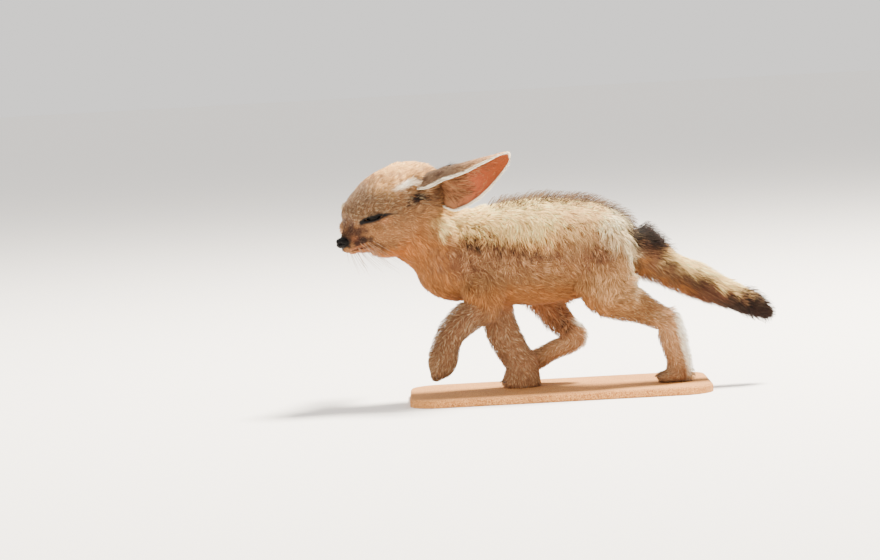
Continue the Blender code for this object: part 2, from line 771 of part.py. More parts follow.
def coat_locks(name, lie, keep_clear, planes, home):
    """The locks of one node in staggered columns along the lie, clear of the other nodes."""
    _, first, last, length, _, columns, arc, _ = COATS[name]
    draw = random.Random(LOCK_SEED + len(name))
    low, high = (math.radians(a) for a in arc)
    spread = (high - low) / columns
    locks = []
    for k in range(columns):
        turn = low + (k + 0.5) * spread
        begin, end = column_range(lie, turn, first, last, planes)
        step = LOCK_ROWS * length
        starts = [(begin, name != "neck", 0.8 if k % 2 else 1.0)]
        starts += [(begin + (j + (0.5 if k % 2 else 1.0)) * step, False, 1.0) for j in range(20)]
        for start, front, share in starts:
            if end - start < 0.5 * length:
                break
            size = draw.uniform(0.94, 1.12)
            lift = draw.uniform(0.96, 1.06)
            lift += BRISTLES * smooth_step(0.75, 0.97, math.sin(turn)) * smooth_step(20.0, 70.0, start) if name == "torso" else 0.0
            angle = turn + draw.uniform(-0.05, 0.05) * spread
            wide = spread * draw.uniform(0.94, 1.04)
            tries = [(later, shorter) for later in ((0.0, 4.0, 8.0, 12.0) if front else (0.0,)) for shorter in (1.0, 0.86, 0.72)]
            for later, shorter in tries:
                long = min(length * size * share, end - start - later) * shorter
                made = lock(lie, start + later, long, angle, wide, COATS[name], front, lift)
                if made is None:
                    continue
                obj = new_object("lock", mesh_of_rings("lock", made[0], made[1]), home)
                if is_clear(obj, keep_clear, planes):
                    locks.append(obj)
                    break
                bpy.data.objects.remove(obj)
    return locks


def is_clear(obj, trees, planes):
    """Whether a lock stays off the planes and the other nodes by more than GAP."""
    points = [vert.co for vert in obj.data.vertices]
    for at, way in planes:
        way = Vector(way).normalized()
        if min((p - Vector(at)).dot(way) for p in points) < GAP:
            return False
    grown = inflated(obj, 0.5)
    tree = BVHTree.FromObject(grown, bpy.context.evaluated_depsgraph_get())
    bpy.data.objects.remove(grown)
    return not any(tree.overlap(other) for other in trees)


def clothe(node, locks, home):
    """Joins a node and its locks by one union on their collection."""
    bunch = bpy.data.collections.new("locks")
    bpy.context.scene.collection.children.link(bunch)
    for obj in locks:
        for held in list(obj.users_collection):
            held.objects.unlink(obj)
        bunch.objects.link(obj)
    union = node.modifiers.new("Coat", "BOOLEAN")
    union.operation = "UNION"
    union.solver = "MANIFOLD"
    union.operand_type = "COLLECTION"
    union.collection = bunch
    apply_modifiers(node)
    for obj in list(bunch.objects):
        bpy.data.objects.remove(obj)
    bpy.data.collections.remove(bunch)
    return keep_largest(node)


def ear_sheet(rows, columns):
    """The near ear's curved sheet in its own frame (along, up, out), in mm, as (rows, columns, 3).

    Across, the sheet leaves the back margin, runs up the flat blade and curls forward into the
    front margin. Its whole turn grows from the tip to the tube at the root.
    """
    reach = EAR_LENGTH * (1.0 - np.linspace(1.0, 0.0, rows) ** 1.15) - EAR_BURIED * np.linspace(1.0, 0.0, rows) ** 2
    across = np.linspace(0.0, 1.0, columns)
    profile = np.array(EAR_PROFILE, float).T
    width = np.interp(reach, profile[0], profile[1])
    turn = np.radians(np.interp(reach, profile[0], profile[2]))
    start = np.radians(np.interp(reach, profile[0], profile[3]))
    share = np.clip(reach / EAR_LENGTH, 0.0, 1.0)
    even = np.clip(1.0 - 3.0 * share, 0.25, 1.0)[:, None]
    late = np.clip((across - 0.5) / 0.5, 0.0, 1.0) ** 2 * (3 - 2 * np.clip((across - 0.5) / 0.5, 0.0, 1.0))
    bend = even * across[None, :] + (1.0 - even) * (0.3 * across + 0.7 * late)[None, :]
    angle = start[:, None] + turn[:, None] * bend
    step = width[:, None] / (columns - 1)
    up = np.cumsum(np.cos(angle) * step, axis=1)
    out = np.cumsum(np.sin(angle) * step, axis=1)
    anchor = int(round(0.68 * (columns - 1)))
    up -= up[:, anchor : anchor + 1]
    out -= out[:, anchor : anchor + 1]
    along = np.repeat(reach[:, None], columns, axis=1)
    return np.stack([along, up, out], axis=2)


def ear_frame(root, tip, out, hand):
    """An ear's frame in the body frame: along its top ridge, up and out."""
    root = Vector(root)
    along = (Vector(tip) - root).normalized()
    out = Vector(out)
    out = (out - along * out.dot(along)).normalized()
    made = Matrix((along, out.cross(along) * hand, out)).transposed().to_4x4()
    made.translation = root
    return made


def ear(name, home, rows=12, columns=11):
    """One ear: the sheet, mirrored for the far side, with a thickness."""
    frame = ear_frame(*EARS[name])
    points = [frame @ Vector(p) for p in ear_sheet(rows, columns).reshape(-1, 3)]
    faces = []
    for i in range(rows - 1):
        for j in range(columns - 1):
            a, b = i * columns + j, (i + 1) * columns + j
            faces.append((a, a + 1, b + 1))
            faces.append((a, b + 1, b))
    mesh = bpy.data.meshes.new(name)
    mesh.from_pydata(points, [], faces)
    made = new_object(name, mesh, home)
    wall = made.modifiers.new("Wall", "SOLIDIFY")
    wall.thickness = EAR_THICKNESS
    wall.offset = 0.0
    return apply_modifiers(made)


def in_head(point):
    """A point of the head frame, in the body frame."""
    return HEAD @ Vector(point)


def side_of(point, side):
    """The point or direction given for the near side, on that side (1 near, -1 far)."""
    return Vector((point[0], side * point[1], point[2]))


def head_ellipsoid(name, centre, radii, home, axes=None, segments=16):
    """An ellipsoid in the head frame, its radii along the given axes or along forward, left and up."""
    made = ball(name, (0, 0, 0), radii, home, segments)
    turn = Matrix.Identity(3) if axes is None else Matrix(axes).transposed()
    made.data.transform(HEAD @ Matrix.Translation(centre) @ turn.to_4x4())
    return made


def eye_axes(side):
    """Directions along the slit, up and out of one eye."""
    out = side_of(EYE_FACING, side).normalized()
    line = side_of(EYE_LINE, side)
    line = (line - out * line.dot(out)).normalized()
    return line, out.cross(line), out


def surface_path(tree, points, push):
    """The head-frame points moved along rays from the head's axis to a surface, plus push."""
    path = []
    for f, l, u in points:
        start = in_head((f - 12.0, 0.0, u + 4.0))
        way = (in_head((f, l, u)) - start).normalized()
        hit = tree.ray_cast(start, way)[0]
        path.append(hit + way * push)
    return path


def mouth_points(rise, count=17):
    """The line of the mouth, or one that much above it, from the left corner round to the right one."""
    line = [(f, l, u + rise) for f, l, u in reversed(MOUTH)] + [(f, -l, u + rise) for f, l, u in MOUTH[1:]]
    return [tuple(row[:3]) for row in smooth_stations([(*p, 1, 1, 1) for p in line], count)]


def lips(skull, home):
    """Upper and lower lip as two soft rims with the line of the mouth between them."""
    tree = BVHTree.FromObject(skull, bpy.context.evaluated_depsgraph_get())
    made = []
    for rise in (LIP_OFFSET, -LIP_OFFSET):
        path = surface_path(tree, mouth_points(rise), -0.3)
        ends = [0.35, 0.7] + [1.0] * (len(path) - 4) + [0.7, 0.35]
        made.append(tube("lip", path, [LIP_RADIUS * e for e in ends], home))
    return made


def lid_rims(side, home):
    """The rims of one eye's upper and lower lid, along the slit."""
    line, up, out = eye_axes(side)
    radius, offset, reach = LID_RIM
    made = []
    for way in (1, -1):
        path = []
        for turn in np.radians(np.linspace(-68, 68, 9)):
            lift = way * offset * math.cos(turn) ** 0.7
            ring = line * math.sin(turn) + out * math.cos(turn)
            path.append(in_head(side_of(EYE_CENTRE, side) + ring * reach + up * lift))
        made.append(tube("rim", path, [radius * 0.6] + [radius] * 7 + [radius * 0.6], home))
    return made


def dress_head(head, home):
    """Cuts the eyes' sockets and slits."""
    for side in (1, -1):
        axes = eye_axes(side)
        centre = side_of(EYE_CENTRE, side)
        radius = EYE_RADIUS + GAP
        socket = head_ellipsoid("socket", centre, (radius, radius, radius), home, axes, 12)
        at = centre + axes[2] * EYE_RADIUS
        slit = head_ellipsoid("slit", at, (SLIT[0], SLIT[1], 6.0), home, axes, 12)
        boolean(socket, slit, "UNION")
        boolean(head, socket, "DIFFERENCE")
    return head


def eyeball(name, side, home):
    """One eyeball."""
    radii = (EYE_RADIUS,) * 3
    return head_ellipsoid(name, side_of(EYE_CENTRE, side), radii, home, eye_axes(side), 12)


def nose(head, home):
    """The nose leather with its nostrils, seated on the muzzle."""
    made = head_ellipsoid("nose", NOSE_CENTRE, NOSE_RADII, home, segments=10)
    for side in (1, -1):
        for centre, radii in NOSTRILS:
            hole = head_ellipsoid("nostril", side_of(centre, side), radii, home, segments=6)
            boolean(made, hole, "DIFFERENCE")
    return boolean(made, inflated(head, GAP), "DIFFERENCE")


def toe_places(leg):
    """Centre and direction of each of a paw's four toes."""
    middle, way, spread, radius = TOES[leg]
    way = Vector(way).normalized()
    for k in (-1.5, -0.5, 0.5, 1.5):
        back = 2.6 if abs(k) > 1 else 0.0
        yield Vector(middle) + Vector((0, k * spread * 2 / 3, 0)) - way * back, way, radius


def toes(leg, home):
    """Four toe lobes for a paw."""
    made = []
    for place, way, radius in toe_places(leg):
        made.append(ball("toe", place, (radius, radius * 0.72, radius * 0.8), home, 12))
    return made


def claws(leg, home):
    """A short curved claw for each toe."""
    length, root = CLAW
    made = []
    for place, way, radius in toe_places(leg):
        down = Vector((0, 0, -0.35))
        start = place + way * (radius - 3.0) + Vector((0, 0, 1.0))
        path = [start, start + way * length * 0.5, start + (way + down).normalized() * length]
        made.append(tube("claw", path, [root, root * 0.8, 0.25], home, 1))
    return made


def leg_nodes(name, lofts, home):
    """One leg as its nodes, from the cut below the trunk down to the paw, standing on the ground plane."""
    pieces = [limb(name + str(i), stations, home) for i, stations in enumerate(lofts)]
    whole = fuse(pieces + toes(name, home), name, home, LEG_TRIANGLES)
    for claw in claws(name, home):
        boolean(whole, claw, "UNION")
    point, normal, _ = LEG_CUTS[name]
    below = half(whole, point, normal, name + "_below")
    rest = half(below, GROUND * (GAP / 2), GROUND, name + "_rest")
    bpy.data.objects.remove(whole)
    bpy.data.objects.remove(below)
    here = name
    for beyond, at, way in LEG_SPLITS[name]:
        _, rest = split(rest, at, way, here, beyond + "_rest")
        here = beyond
    rest.name = here


def clear_for_leg(trunk, name, home):
    """Takes away from the trunk what lies beyond a leg's cut."""
    point, normal, (reach, wide) = LEG_CUTS[name]
    normal = Vector(normal).normalized()
    tilt = Vector((0, 0, -1)).rotation_difference(normal).to_matrix()
    cell = box("cell", (-reach, -wide, -30), (reach, wide, 30), home, tilt)
    cell.data.transform(Matrix.Translation(Vector(point) + normal * (30 - GAP / 2)))
    boolean(trunk, cell, "DIFFERENCE")


def base_plate(home):
    """The display base: a flat box with rounded corners and a small bevel round the top, in mm."""
    shell = bmesh.new()
    bmesh.ops.create_cube(shell, size=1.0)
    bmesh.ops.scale(shell, vec=(BASE_LENGTH, BASE_WIDTH, BASE_THICKNESS), verts=shell.verts)
    bmesh.ops.translate(shell, vec=(0, 0, BASE_THICKNESS / 2), verts=shell.verts)
    corners = [e for e in shell.edges if abs(e.verts[0].co.z - e.verts[1].co.z) > 1.0]
    bmesh.ops.bevel(shell, geom=corners, offset=BASE_CORNER, segments=6, profile=0.5, affect="EDGES")
    top = [e for e in shell.edges if all(v.co.z > BASE_THICKNESS - 0.01 for v in e.verts)]
    bmesh.ops.bevel(shell, geom=top, offset=BASE_EDGE, segments=1, affect="EDGES")
    mesh = bpy.data.meshes.new("stand_base")
    shell.to_mesh(mesh)
    shell.free()
    return new_object("stand_base", mesh, home)


def skull(home):
    """The plain loft of the head."""
    return new_object("skull", mesh_of_rings("skull", skull_rings(26, 32)), home)


def face_forms(home):
    """The head's loft with the neck and the small forms of the face."""
    made = [skull(home), limb("neck_loft", NECK, home, 9, 28)]
    made += lips(made[0], home)
    for side in (1, -1):
        made.append(head_ellipsoid("lid", side_of(EYE_CENTRE, side), LID_RADII, home, eye_axes(side)))
        made += lid_rims(side, home)
        made.append(head_ellipsoid("pad", side_of(MUZZLE_PADS[0], side), MUZZLE_PADS[1], home))
        made.append(head_ellipsoid("mound", side_of(EAR_MOUND[0], side), EAR_MOUND[1], home))
    made.append(head_ellipsoid("chin", CHIN[0], CHIN[1], home))
    return made


def trunk_forms(home):
    """The lofts of head, neck, torso, upper arms and thighs."""
    return [
        skull(home),
        limb("torso_loft", TORSO, home, 18, 32),
        limb("neck_loft", NECK, home, 9, 28),
        limb("arm_l", UPPER_ARM_LEFT, home),
        limb("arm_r", UPPER_ARM_RIGHT, home),
        limb("thigh_l", THIGH_LEFT, home),
        limb("thigh_r", THIGH_RIGHT, home),
    ]


def place(obj, frame):
    """Puts a piece's origin at the middle of its bounds and parents it to the object's frame."""
    corners = np.array([vert.co for vert in obj.data.vertices])
    middle = Vector((corners.min(axis=0) + corners.max(axis=0)) / 2)
    obj.data.transform(Matrix.Translation(-middle))
    obj.location = middle
    obj.parent = frame


def main():
    """Builds every node, gives it its material and stands the animal on its base."""
    clear_scene()
    parts = collection("fennec_fox")
    fine = fuse(face_forms(parts), "fine", parts, FACE_TRIANGLES, FACE_VOXEL, 3)
    head = half(fine, HEAD_CUT[0], [-n for n in HEAD_CUT[1]], "head")
    bpy.data.objects.remove(fine)
    dress_head(head, parts)
    outline = fuse(trunk_forms(parts), "outline", parts, 2 * TRUNK_TRIANGLES)
    core = sunk_core(outline, "core", parts, TRUNK_TRIANGLES)
    lies = {"TORSO": Lie(TORSO, core, outline), "NECK": Lie(NECK, core, outline)}
    bpy.data.objects.remove(outline)
    behind = half(core, HEAD_CUT[0], HEAD_CUT[1], "behind")
    bpy.data.objects.remove(core)
    for name, lofts in LEGS.items():
        leg_nodes(name, lofts, parts)
        clear_for_leg(behind, name, parts)
    neck, torso = split(behind, NECK_CUT[0], NECK_CUT[1], "neck", "torso")
    outline = limb("tail_outline", TAIL, parts, 20, 18)
    slim = [(x, y, z, w * TAIL_CORE, u * TAIL_CORE, d * TAIL_CORE) for x, y, z, w, u, d in TAIL]
    tail = fuse([limb("tail_loft", slim, parts, 20, 18)], "tail", parts, TAIL_TRIANGLES)
    lies["TAIL"] = Lie(TAIL, tail, outline)
    bpy.data.objects.remove(outline)
    boolean(tail, inflated(torso, GAP), "DIFFERENCE")
    tail_root, rest = split(tail, *TAIL_CUTS[0], "tail_root", "tail_rest")
    tail_middle, tail_tip = split(rest, *TAIL_CUTS[1], "tail_middle", "tail_tip")
    for name in EARS:
        made = ear(name, parts)
        for other in (head, neck, torso):
            boolean(made, inflated(other, GAP), "DIFFERENCE")
    planes = {
        "neck": [HEAD_CUT, (NECK_CUT[0], [-n for n in NECK_CUT[1]])],
        "torso": [NECK_CUT],
        "tail_root": [(TAIL_CUTS[0][0], [-n for n in TAIL_CUTS[0][1]])],
        "tail_middle": [TAIL_CUTS[0], (TAIL_CUTS[1][0], [-n for n in TAIL_CUTS[1][1]])],
        "tail_tip": [TAIL_CUTS[1]],
    }
    for name in COATS:
        node = bpy.data.objects[name]
        depsgraph = bpy.context.evaluated_depsgraph_get()
        others = [BVHTree.FromObject(obj, depsgraph) for obj in parts.objects if obj is not node]
        locks = coat_locks(name, lies[COATS[name][0]], others, planes[name], parts)
        print(name, "locks", len(locks))
        clothe(node, locks, parts)
    nose(head, parts)
    eyeball("eye_left", 1, parts)
    eyeball("eye_right", -1, parts)
    for obj in parts.objects:
        tidy(obj)
        obj.data.transform(Matrix.Scale(MM, 4))
        obj.data.transform(STANCE)
    plate = base_plate(parts)
    plate.data.transform(Matrix.Scale(MM, 4))
    finish = {
        "fur_sand": material("fur_sand", (0.62, 0.43, 0.26), 0.95),
        "fur_dark": material("fur_dark", (0.10, 0.065, 0.045), 0.95),
        "nose_leather": material("nose_leather", (0.025, 0.020, 0.020), 0.45),
        "eye_glass": material("eye_glass", (0.03, 0.018, 0.012), 0.12),
        "base_board": material("base_board", (0.70, 0.60, 0.47), 0.7),
    }
    frame = new_object("fennec_fox_frame", None, parts)
    for obj in parts.objects:
        if obj is frame:
            continue
        slot = SLOTS.get(obj.name, "fur_sand")
        obj.data.materials.clear()
        obj.data.materials.append(finish[slot])
        obj.data.validate()
        place(obj, frame)


if __name__ == "__main__":
    main()
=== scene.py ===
"""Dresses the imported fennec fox: skin, coat, eyes, nose, claws and whiskers over its fixed frame.

The animal is laid out in its own body frame, in millimetres: +X from nose to tail, +Y to its right,
+Z up. Stance stands that frame on the display base, in metres.
"""

from __future__ import annotations

import logging
import math
from dataclasses import dataclass, replace
from enum import Enum

import bpy
import numpy as np
from mathutils import Matrix, Vector
from mathutils.bvhtree import BVHTree

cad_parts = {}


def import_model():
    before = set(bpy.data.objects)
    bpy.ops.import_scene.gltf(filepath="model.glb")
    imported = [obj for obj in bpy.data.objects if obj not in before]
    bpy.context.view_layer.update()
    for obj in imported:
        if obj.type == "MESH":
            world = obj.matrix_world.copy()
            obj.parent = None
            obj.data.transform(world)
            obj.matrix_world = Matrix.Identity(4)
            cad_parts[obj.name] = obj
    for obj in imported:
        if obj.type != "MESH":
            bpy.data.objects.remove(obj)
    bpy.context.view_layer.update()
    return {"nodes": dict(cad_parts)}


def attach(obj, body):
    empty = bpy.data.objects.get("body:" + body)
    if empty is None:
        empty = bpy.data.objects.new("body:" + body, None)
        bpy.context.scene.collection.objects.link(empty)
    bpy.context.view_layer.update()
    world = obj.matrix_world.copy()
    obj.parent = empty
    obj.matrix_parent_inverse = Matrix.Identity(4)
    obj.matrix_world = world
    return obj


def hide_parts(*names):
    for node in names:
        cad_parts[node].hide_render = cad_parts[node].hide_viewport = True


LOG = logging.getLogger("fennec")
Array, Object, Material, Socket = np.ndarray, bpy.types.Object, bpy.types.Material, bpy.types.NodeSocket
Point = tuple[float, float, float]
Row = tuple[float, ...]
MM = 0.001


class Part(Enum):
    """The parts of the body that the coat grows on."""

    HEAD = 0
    NECK = 1
    TORSO = 2
    TAIL = 3
    FORE_LEFT = 4
    FORE_RIGHT = 5
    HIND_LEFT = 6
    HIND_RIGHT = 7


LEGS = (Part.FORE_LEFT, Part.FORE_RIGHT, Part.HIND_LEFT, Part.HIND_RIGHT)
LEG_NODES = {
    Part.FORE_LEFT: ("foreleg_left", "forepaw_left"),
    Part.FORE_RIGHT: ("foreleg_right", "forepaw_right"),
    Part.HIND_LEFT: ("hindleg_left", "hindfoot_left", "hindpaw_left"),
    Part.HIND_RIGHT: ("hindleg_right", "hindfoot_right", "hindpaw_right"),
}
TAIL_NODES = ("tail_root", "tail_middle", "tail_tip")

# Stations of the body's lofts: x, y, z, half-width across, reach up or back, reach down or forward.
TORSO: tuple[Row, ...] = (
    (-117, 0, 121, 15, 20, 22), (-104, 0, 126, 30, 39, 44), (-84, 0, 130, 37, 47, 47), (-58, 0, 132, 39, 51, 49),
    (-28, 0, 136, 40, 52, 51), (2, 0, 139, 40, 50, 50), (27, 0, 142, 38, 45, 47), (46, 0, 143, 35, 37, 40),
    (60, 0, 142, 28, 28, 29), (70, 0, 140, 15, 14, 15),
)
NECK: tuple[Row, ...] = (
    (-160, -5, 172, 29, 31, 36), (-146, -4, 160, 31, 32, 36), (-128, -2, 146, 33, 32, 35),
    (-108, 0, 132, 35, 38, 45), (-84, 0, 124, 33, 38, 41),
)
TAIL: tuple[Row, ...] = (
    (62, 0, 146, 15, 15, 16), (76, 0, 141, 19, 18, 20), (90, 1, 133, 20, 21, 23), (103, 2, 126, 18, 18, 20),
    (116, 3, 119, 17, 16, 18), (133, 4, 110, 16, 16, 17), (152, 5, 100, 15, 15, 15.5), (172, 6, 90.5, 13, 13.5, 13),
    (190, 7, 83, 10, 10.5, 10), (203, 8, 76, 5.5, 6, 6), (210, 8, 72, 1.2, 1.2, 1.2),
)
LIMBS: dict[Part, tuple[tuple[Row, ...], ...]] = {
    Part.FORE_LEFT: (
        ((-84, -20, 138, 16, 26, 24), (-80, -24, 116, 16, 24, 22), (-76, -26, 96, 15, 20, 22),
         (-73, -27, 80, 13, 15, 15)),
        ((-73, -27, 84, 14, 17, 17), (-85, -27, 76, 13.5, 15.5, 15.5), (-96, -27, 67, 12.5, 13.5, 13.5),
         (-106, -27, 57, 12, 12, 12), (-111, -27, 48, 12, 11.5, 11.5)),
        ((-110, -27, 52, 11.5, 11, 11), (-113, -27, 41, 12, 12.5, 12.5), (-116, -27, 30, 13, 14, 14),
         (-120, -27, 20, 13, 12.5, 12.5), (-123.5, -27, 13, 8, 7, 6.5)),
    ),
    Part.FORE_RIGHT: (
        ((-70, 20, 138, 16, 24, 24), (-68, 20, 116, 16, 21, 22), (-66, 18, 97, 15, 18, 20), (-64, 16, 82, 13, 15, 16)),
        ((-67, 17, 96, 14, 18, 18), (-63, 14, 74, 13, 16.5, 17), (-57, 11, 54, 12, 15.5, 16),
         (-49, 9, 38, 12, 15, 15), (-42, 8, 27, 12.5, 15, 15)),
        ((-39, 8, 28, 12.5, 15, 15), (-37, 8, 18, 14, 16, 17), (-36.5, 8, 9, 15, 17, 19.5),
         (-36.5, 8, 2, 15, 18, 21), (-36.5, 8, -6, 13, 16, 18)),
    ),
    Part.HIND_LEFT: (
        ((40, -18, 152, 16, 30, 30), (41, -22, 124, 18, 31, 32), (44, -24, 102, 18, 31, 31), (45, -25, 88, 15, 20, 22)),
        ((43, -25, 93, 15, 22, 20), (61, -25, 87, 14, 21, 19), (77, -24, 80, 12, 17, 14.5),
         (92, -23, 73, 10.5, 13, 11.5), (105, -22, 67, 10, 11, 10)),
        ((106, -22, 74, 9, 8, 8), (108.5, -21, 58, 10.5, 12, 11.5), (113, -20, 41, 10.5, 12, 11.5),
         (117, -19, 28, 11, 11.5, 11.5), (118, -19, 18, 11.5, 12, 12.5)),
        ((126, -19, 15, 8, 9, 8), (118, -19, 13, 12.5, 10, 11), (110, -19, 12, 13.5, 9, 8), (102, -19, 11, 12, 8, 5.5)),
    ),
    Part.HIND_RIGHT: (
        ((35, 20, 148, 16, 30, 30), (14, 23, 122, 17, 29, 28), (-6, 25, 103, 15, 24, 22), (-18, 26, 90, 12, 15, 15)),
        ((-16, 26, 94, 13, 17, 17), (-7, 27, 79, 12, 14, 14), (2, 28, 65, 11, 11.5, 12), (12, 29, 54, 10, 11, 11.5),
         (21, 30, 47, 8.5, 9, 9)),
        ((22.5, 30, 45, 8, 7, 7), (12, 31, 40, 9, 9, 9), (0, 33, 35, 9.5, 9.5, 9.5), (-12, 35, 29, 10, 9.5, 9.5)),
        ((-8, 35, 31, 10, 9.5, 9.5), (-22, 36, 23, 11, 10.5, 10.5), (-33, 37, 16, 11.5, 9, 9), (-38, 37, 12, 8, 6, 6)),
    ),
}
# Toes: middle of the row, direction they point, spread across, radius.
TOES: dict[Part, tuple[Point, Point, float, float]] = {
    Part.FORE_LEFT: ((-121.5, -27, 14.5), (-0.35, 0, -0.94), 7.6, 5.4),
    Part.FORE_RIGHT: ((-51, 8, 3.5), (-1, 0, -0.05), 9.6, 6.4),
    Part.HIND_LEFT: ((101.5, -19, 12), (-1, 0, -0.05), 8.6, 5.6),
    Part.HIND_RIGHT: ((-36, 37, 14.5), (-0.8, 0, -0.6), 7.6, 5.2),
}
OUTER_TOE_BACK = 2.6
# Head stations: forward, above the axis, half-width, reach up, reach down, in the head frame.
SKULL: tuple[Row, ...] = (
    (66, -12.5, 7, 9, 9.5), (59, -12, 10, 14.5, 13), (50, -11, 14.5, 25, 19), (42, -8, 20, 32, 26),
    (31, -6, 27, 37, 35), (13, -4, 36, 42, 43), (-7, -3, 39, 43, 46), (-24, -2, 38, 40, 44), (-38, -2, 31, 34, 36),
    (-50, -2, 16, 19, 20),
)
MOUTH: tuple[Point, ...] = ((67, 0, -18.5), (64, 4, -19.5), (58, 7.5, -20.5), (50, 11, -21.5), (42, 14.5, -23))
MOUTH_STEPS = 41


def unit(vectors: Array) -> Array:
    """Vectors scaled to length 1 along their last axis."""
    return vectors / np.maximum(np.linalg.norm(vectors, axis=-1, keepdims=True), 1e-9)


def ease(low: float, high: float, value: Array) -> Array:
    """0 below low, 1 above high and a smooth cubic step between."""
    t = np.clip((np.asarray(value, float) - low) / (high - low), 0.0, 1.0)
    return t * t * (3.0 - 2.0 * t)


def mixed(a: Array, b: Array, share: Array) -> Array:
    """a towards b by a share for each row."""
    share = np.asarray(share, float)
    share = share[..., None] if np.ndim(share) < np.ndim(a) else share
    return a + (b - a) * share


def linear(rgb: Point) -> Array:
    """A display colour of 0 to 255 as scene-linear light."""
    c = np.asarray(rgb, float) / 255.0
    return np.where(c <= 0.04045, c / 12.92, ((c + 0.055) / 1.055) ** 2.4)


def nearest(points: Array, others: Array, chunk: int) -> tuple[Array, Array]:
    """The nearest of the others to each point, and its squared distance: |p|^2 - 2 p.q + |q|^2, chunk by chunk."""
    index, gap = np.empty(len(points), np.int64), np.empty(len(points))
    for start in range(0, len(points), chunk):
        some = points[start : start + chunk]
        square = (some**2).sum(1)[:, None] - 2 * some @ others.T + (others**2).sum(1)[None]
        best = square.argmin(axis=1)
        index[start : start + chunk], gap[start : start + chunk] = best, square[np.arange(len(some)), best]
    return index, gap


def laid_flat(ways: Array, normals: Array) -> Array:
    """Directions laid on a surface: each less its part along the normal, at length 1."""
    return unit(ways - normals * (ways * normals).sum(axis=1, keepdims=True))


def to_left(head: Array) -> Array:
    """Head-frame points with those of the right side mirrored to the left."""
    return np.stack([head[:, 0], np.abs(head[:, 1]), head[:, 2]], axis=1)


def quads(a: Array, b: Array, c: Array, d: Array) -> Array:
    """Two triangles for every four corners."""
    return np.concatenate([np.stack([a, b, c], -1).reshape(-1, 3), np.stack([a, c, d], -1).reshape(-1, 3)])


def linked(name: str, data: bpy.types.ID) -> Object:
    """A new object at the origin, in the scene."""
    obj = bpy.data.objects.new(name, data)
    bpy.context.scene.collection.objects.link(obj)
    return obj


@dataclass(frozen=True)
class Waves:
    """Smooth noise about 0 with unit spread: a sum of plane waves in seeded random directions."""

    wavelength: float
    seed: int
    count: int = 10

    def at(self, points: Array, stretch: Point = (1.0, 1.0, 1.0)) -> Array:
        """Values at points.

        Args:
            points: array (n, 3).
            stretch: factors on them first; a small one draws the pattern out that way.
        Returns:
            Array (n,): the sum of sines of the dot products, over the root of half their count.
        """
        draw = np.random.default_rng(self.seed)
        way = unit(draw.normal(size=(self.count, 3))) * 2 * math.pi / self.wavelength
        way *= draw.uniform(0.65, 1.5, (self.count, 1))
        phase = draw.uniform(0, 2 * math.pi, self.count)
        return np.sin(points * np.array(stretch) @ way.T + phase).sum(axis=1) / math.sqrt(self.count / 2)


@dataclass(frozen=True)
class Stance:
    """How the laid-out body stands on the base."""

    base_thickness: float = 8.0
    stride_pitch: float = math.radians(3.1)

    @property
    def matrix(self) -> Matrix:
        """Body frame to the row frame, both in metres."""
        return Matrix.Translation((0, 0, self.base_thickness * MM)) @ Matrix.Rotation(self.stride_pitch, 4, "Y")

    def metres(self, points: Array) -> Array:
        """Body-frame points in mm as row-frame points in metres."""
        turn = np.array(self.matrix.to_3x3())
        return points * MM @ turn.T + np.array(self.matrix.translation)

    def ground(self, points: Array) -> Array:
        """Height of body-frame points over the top of the base, in mm."""
        return points[:, 2] * math.cos(self.stride_pitch) - points[:, 0] * math.sin(self.stride_pitch)


@dataclass(frozen=True)
class HeadFrame:
    """The head's own frame: forward, left and up from a point in the middle of the skull."""

    centre: Point = (-167.0, -8.0, 179.0)
    yaw: float = math.radians(36.0)
    pitch: float = math.radians(20.0)

    @property
    def axes(self) -> Array:
        """Rows are the forward, left and up directions in the body frame."""
        cp, sp = math.cos(self.pitch), math.sin(self.pitch)
        cy, sy = math.cos(self.yaw), math.sin(self.yaw)
        forward, left = np.array([-cp * cy, -cp * sy, -sp]), np.array([sy, -cy, 0.0])
        return np.stack([forward, left, np.cross(forward, left)])

    def to_body(self, points: Array) -> Array:
        """Head-frame points in the body frame."""
        return np.asarray(points, float) @ self.axes + np.array(self.centre)

    def to_head(self, points: Array) -> Array:
        """Body-frame points in the head frame."""
        return (points - np.array(self.centre)) @ self.axes.T


STANCE = Stance()
HEAD = HeadFrame()


def through(stations: tuple[Row, ...], count: int) -> Array:
    """Catmull-Rom curve through stations, at even steps of arc length.

    Args:
        stations: rows whose first three numbers are a place.
        count: how many rows to return.
    Returns:
        Array (count, columns): 0.5 (2b + (c - a) t + (2a - 5b + 4c - d) t^2 + (3b - a - 3c + d) t^3).
    """
    rows = np.array(stations, float)
    padded = np.vstack([2 * rows[0] - rows[1], rows, 2 * rows[-1] - rows[-2]])
    steps = np.linalg.norm(np.diff(rows[:, :3], axis=0), axis=1)
    marks = np.concatenate([[0.0], np.cumsum(steps)])
    wanted = np.linspace(0.0, marks[-1], count)
    index = np.clip(np.searchsorted(marks, wanted, side="right") - 1, 0, len(rows) - 2)
    t = ((wanted - marks[index]) / steps[index])[:, None]
    a, b, c, d = (padded[index + k] for k in range(4))
    return 0.5 * (2 * b + (c - a) * t + (2 * a - 5 * b + 4 * c - d) * t**2 + (3 * b - a - 3 * c + d) * t**3)


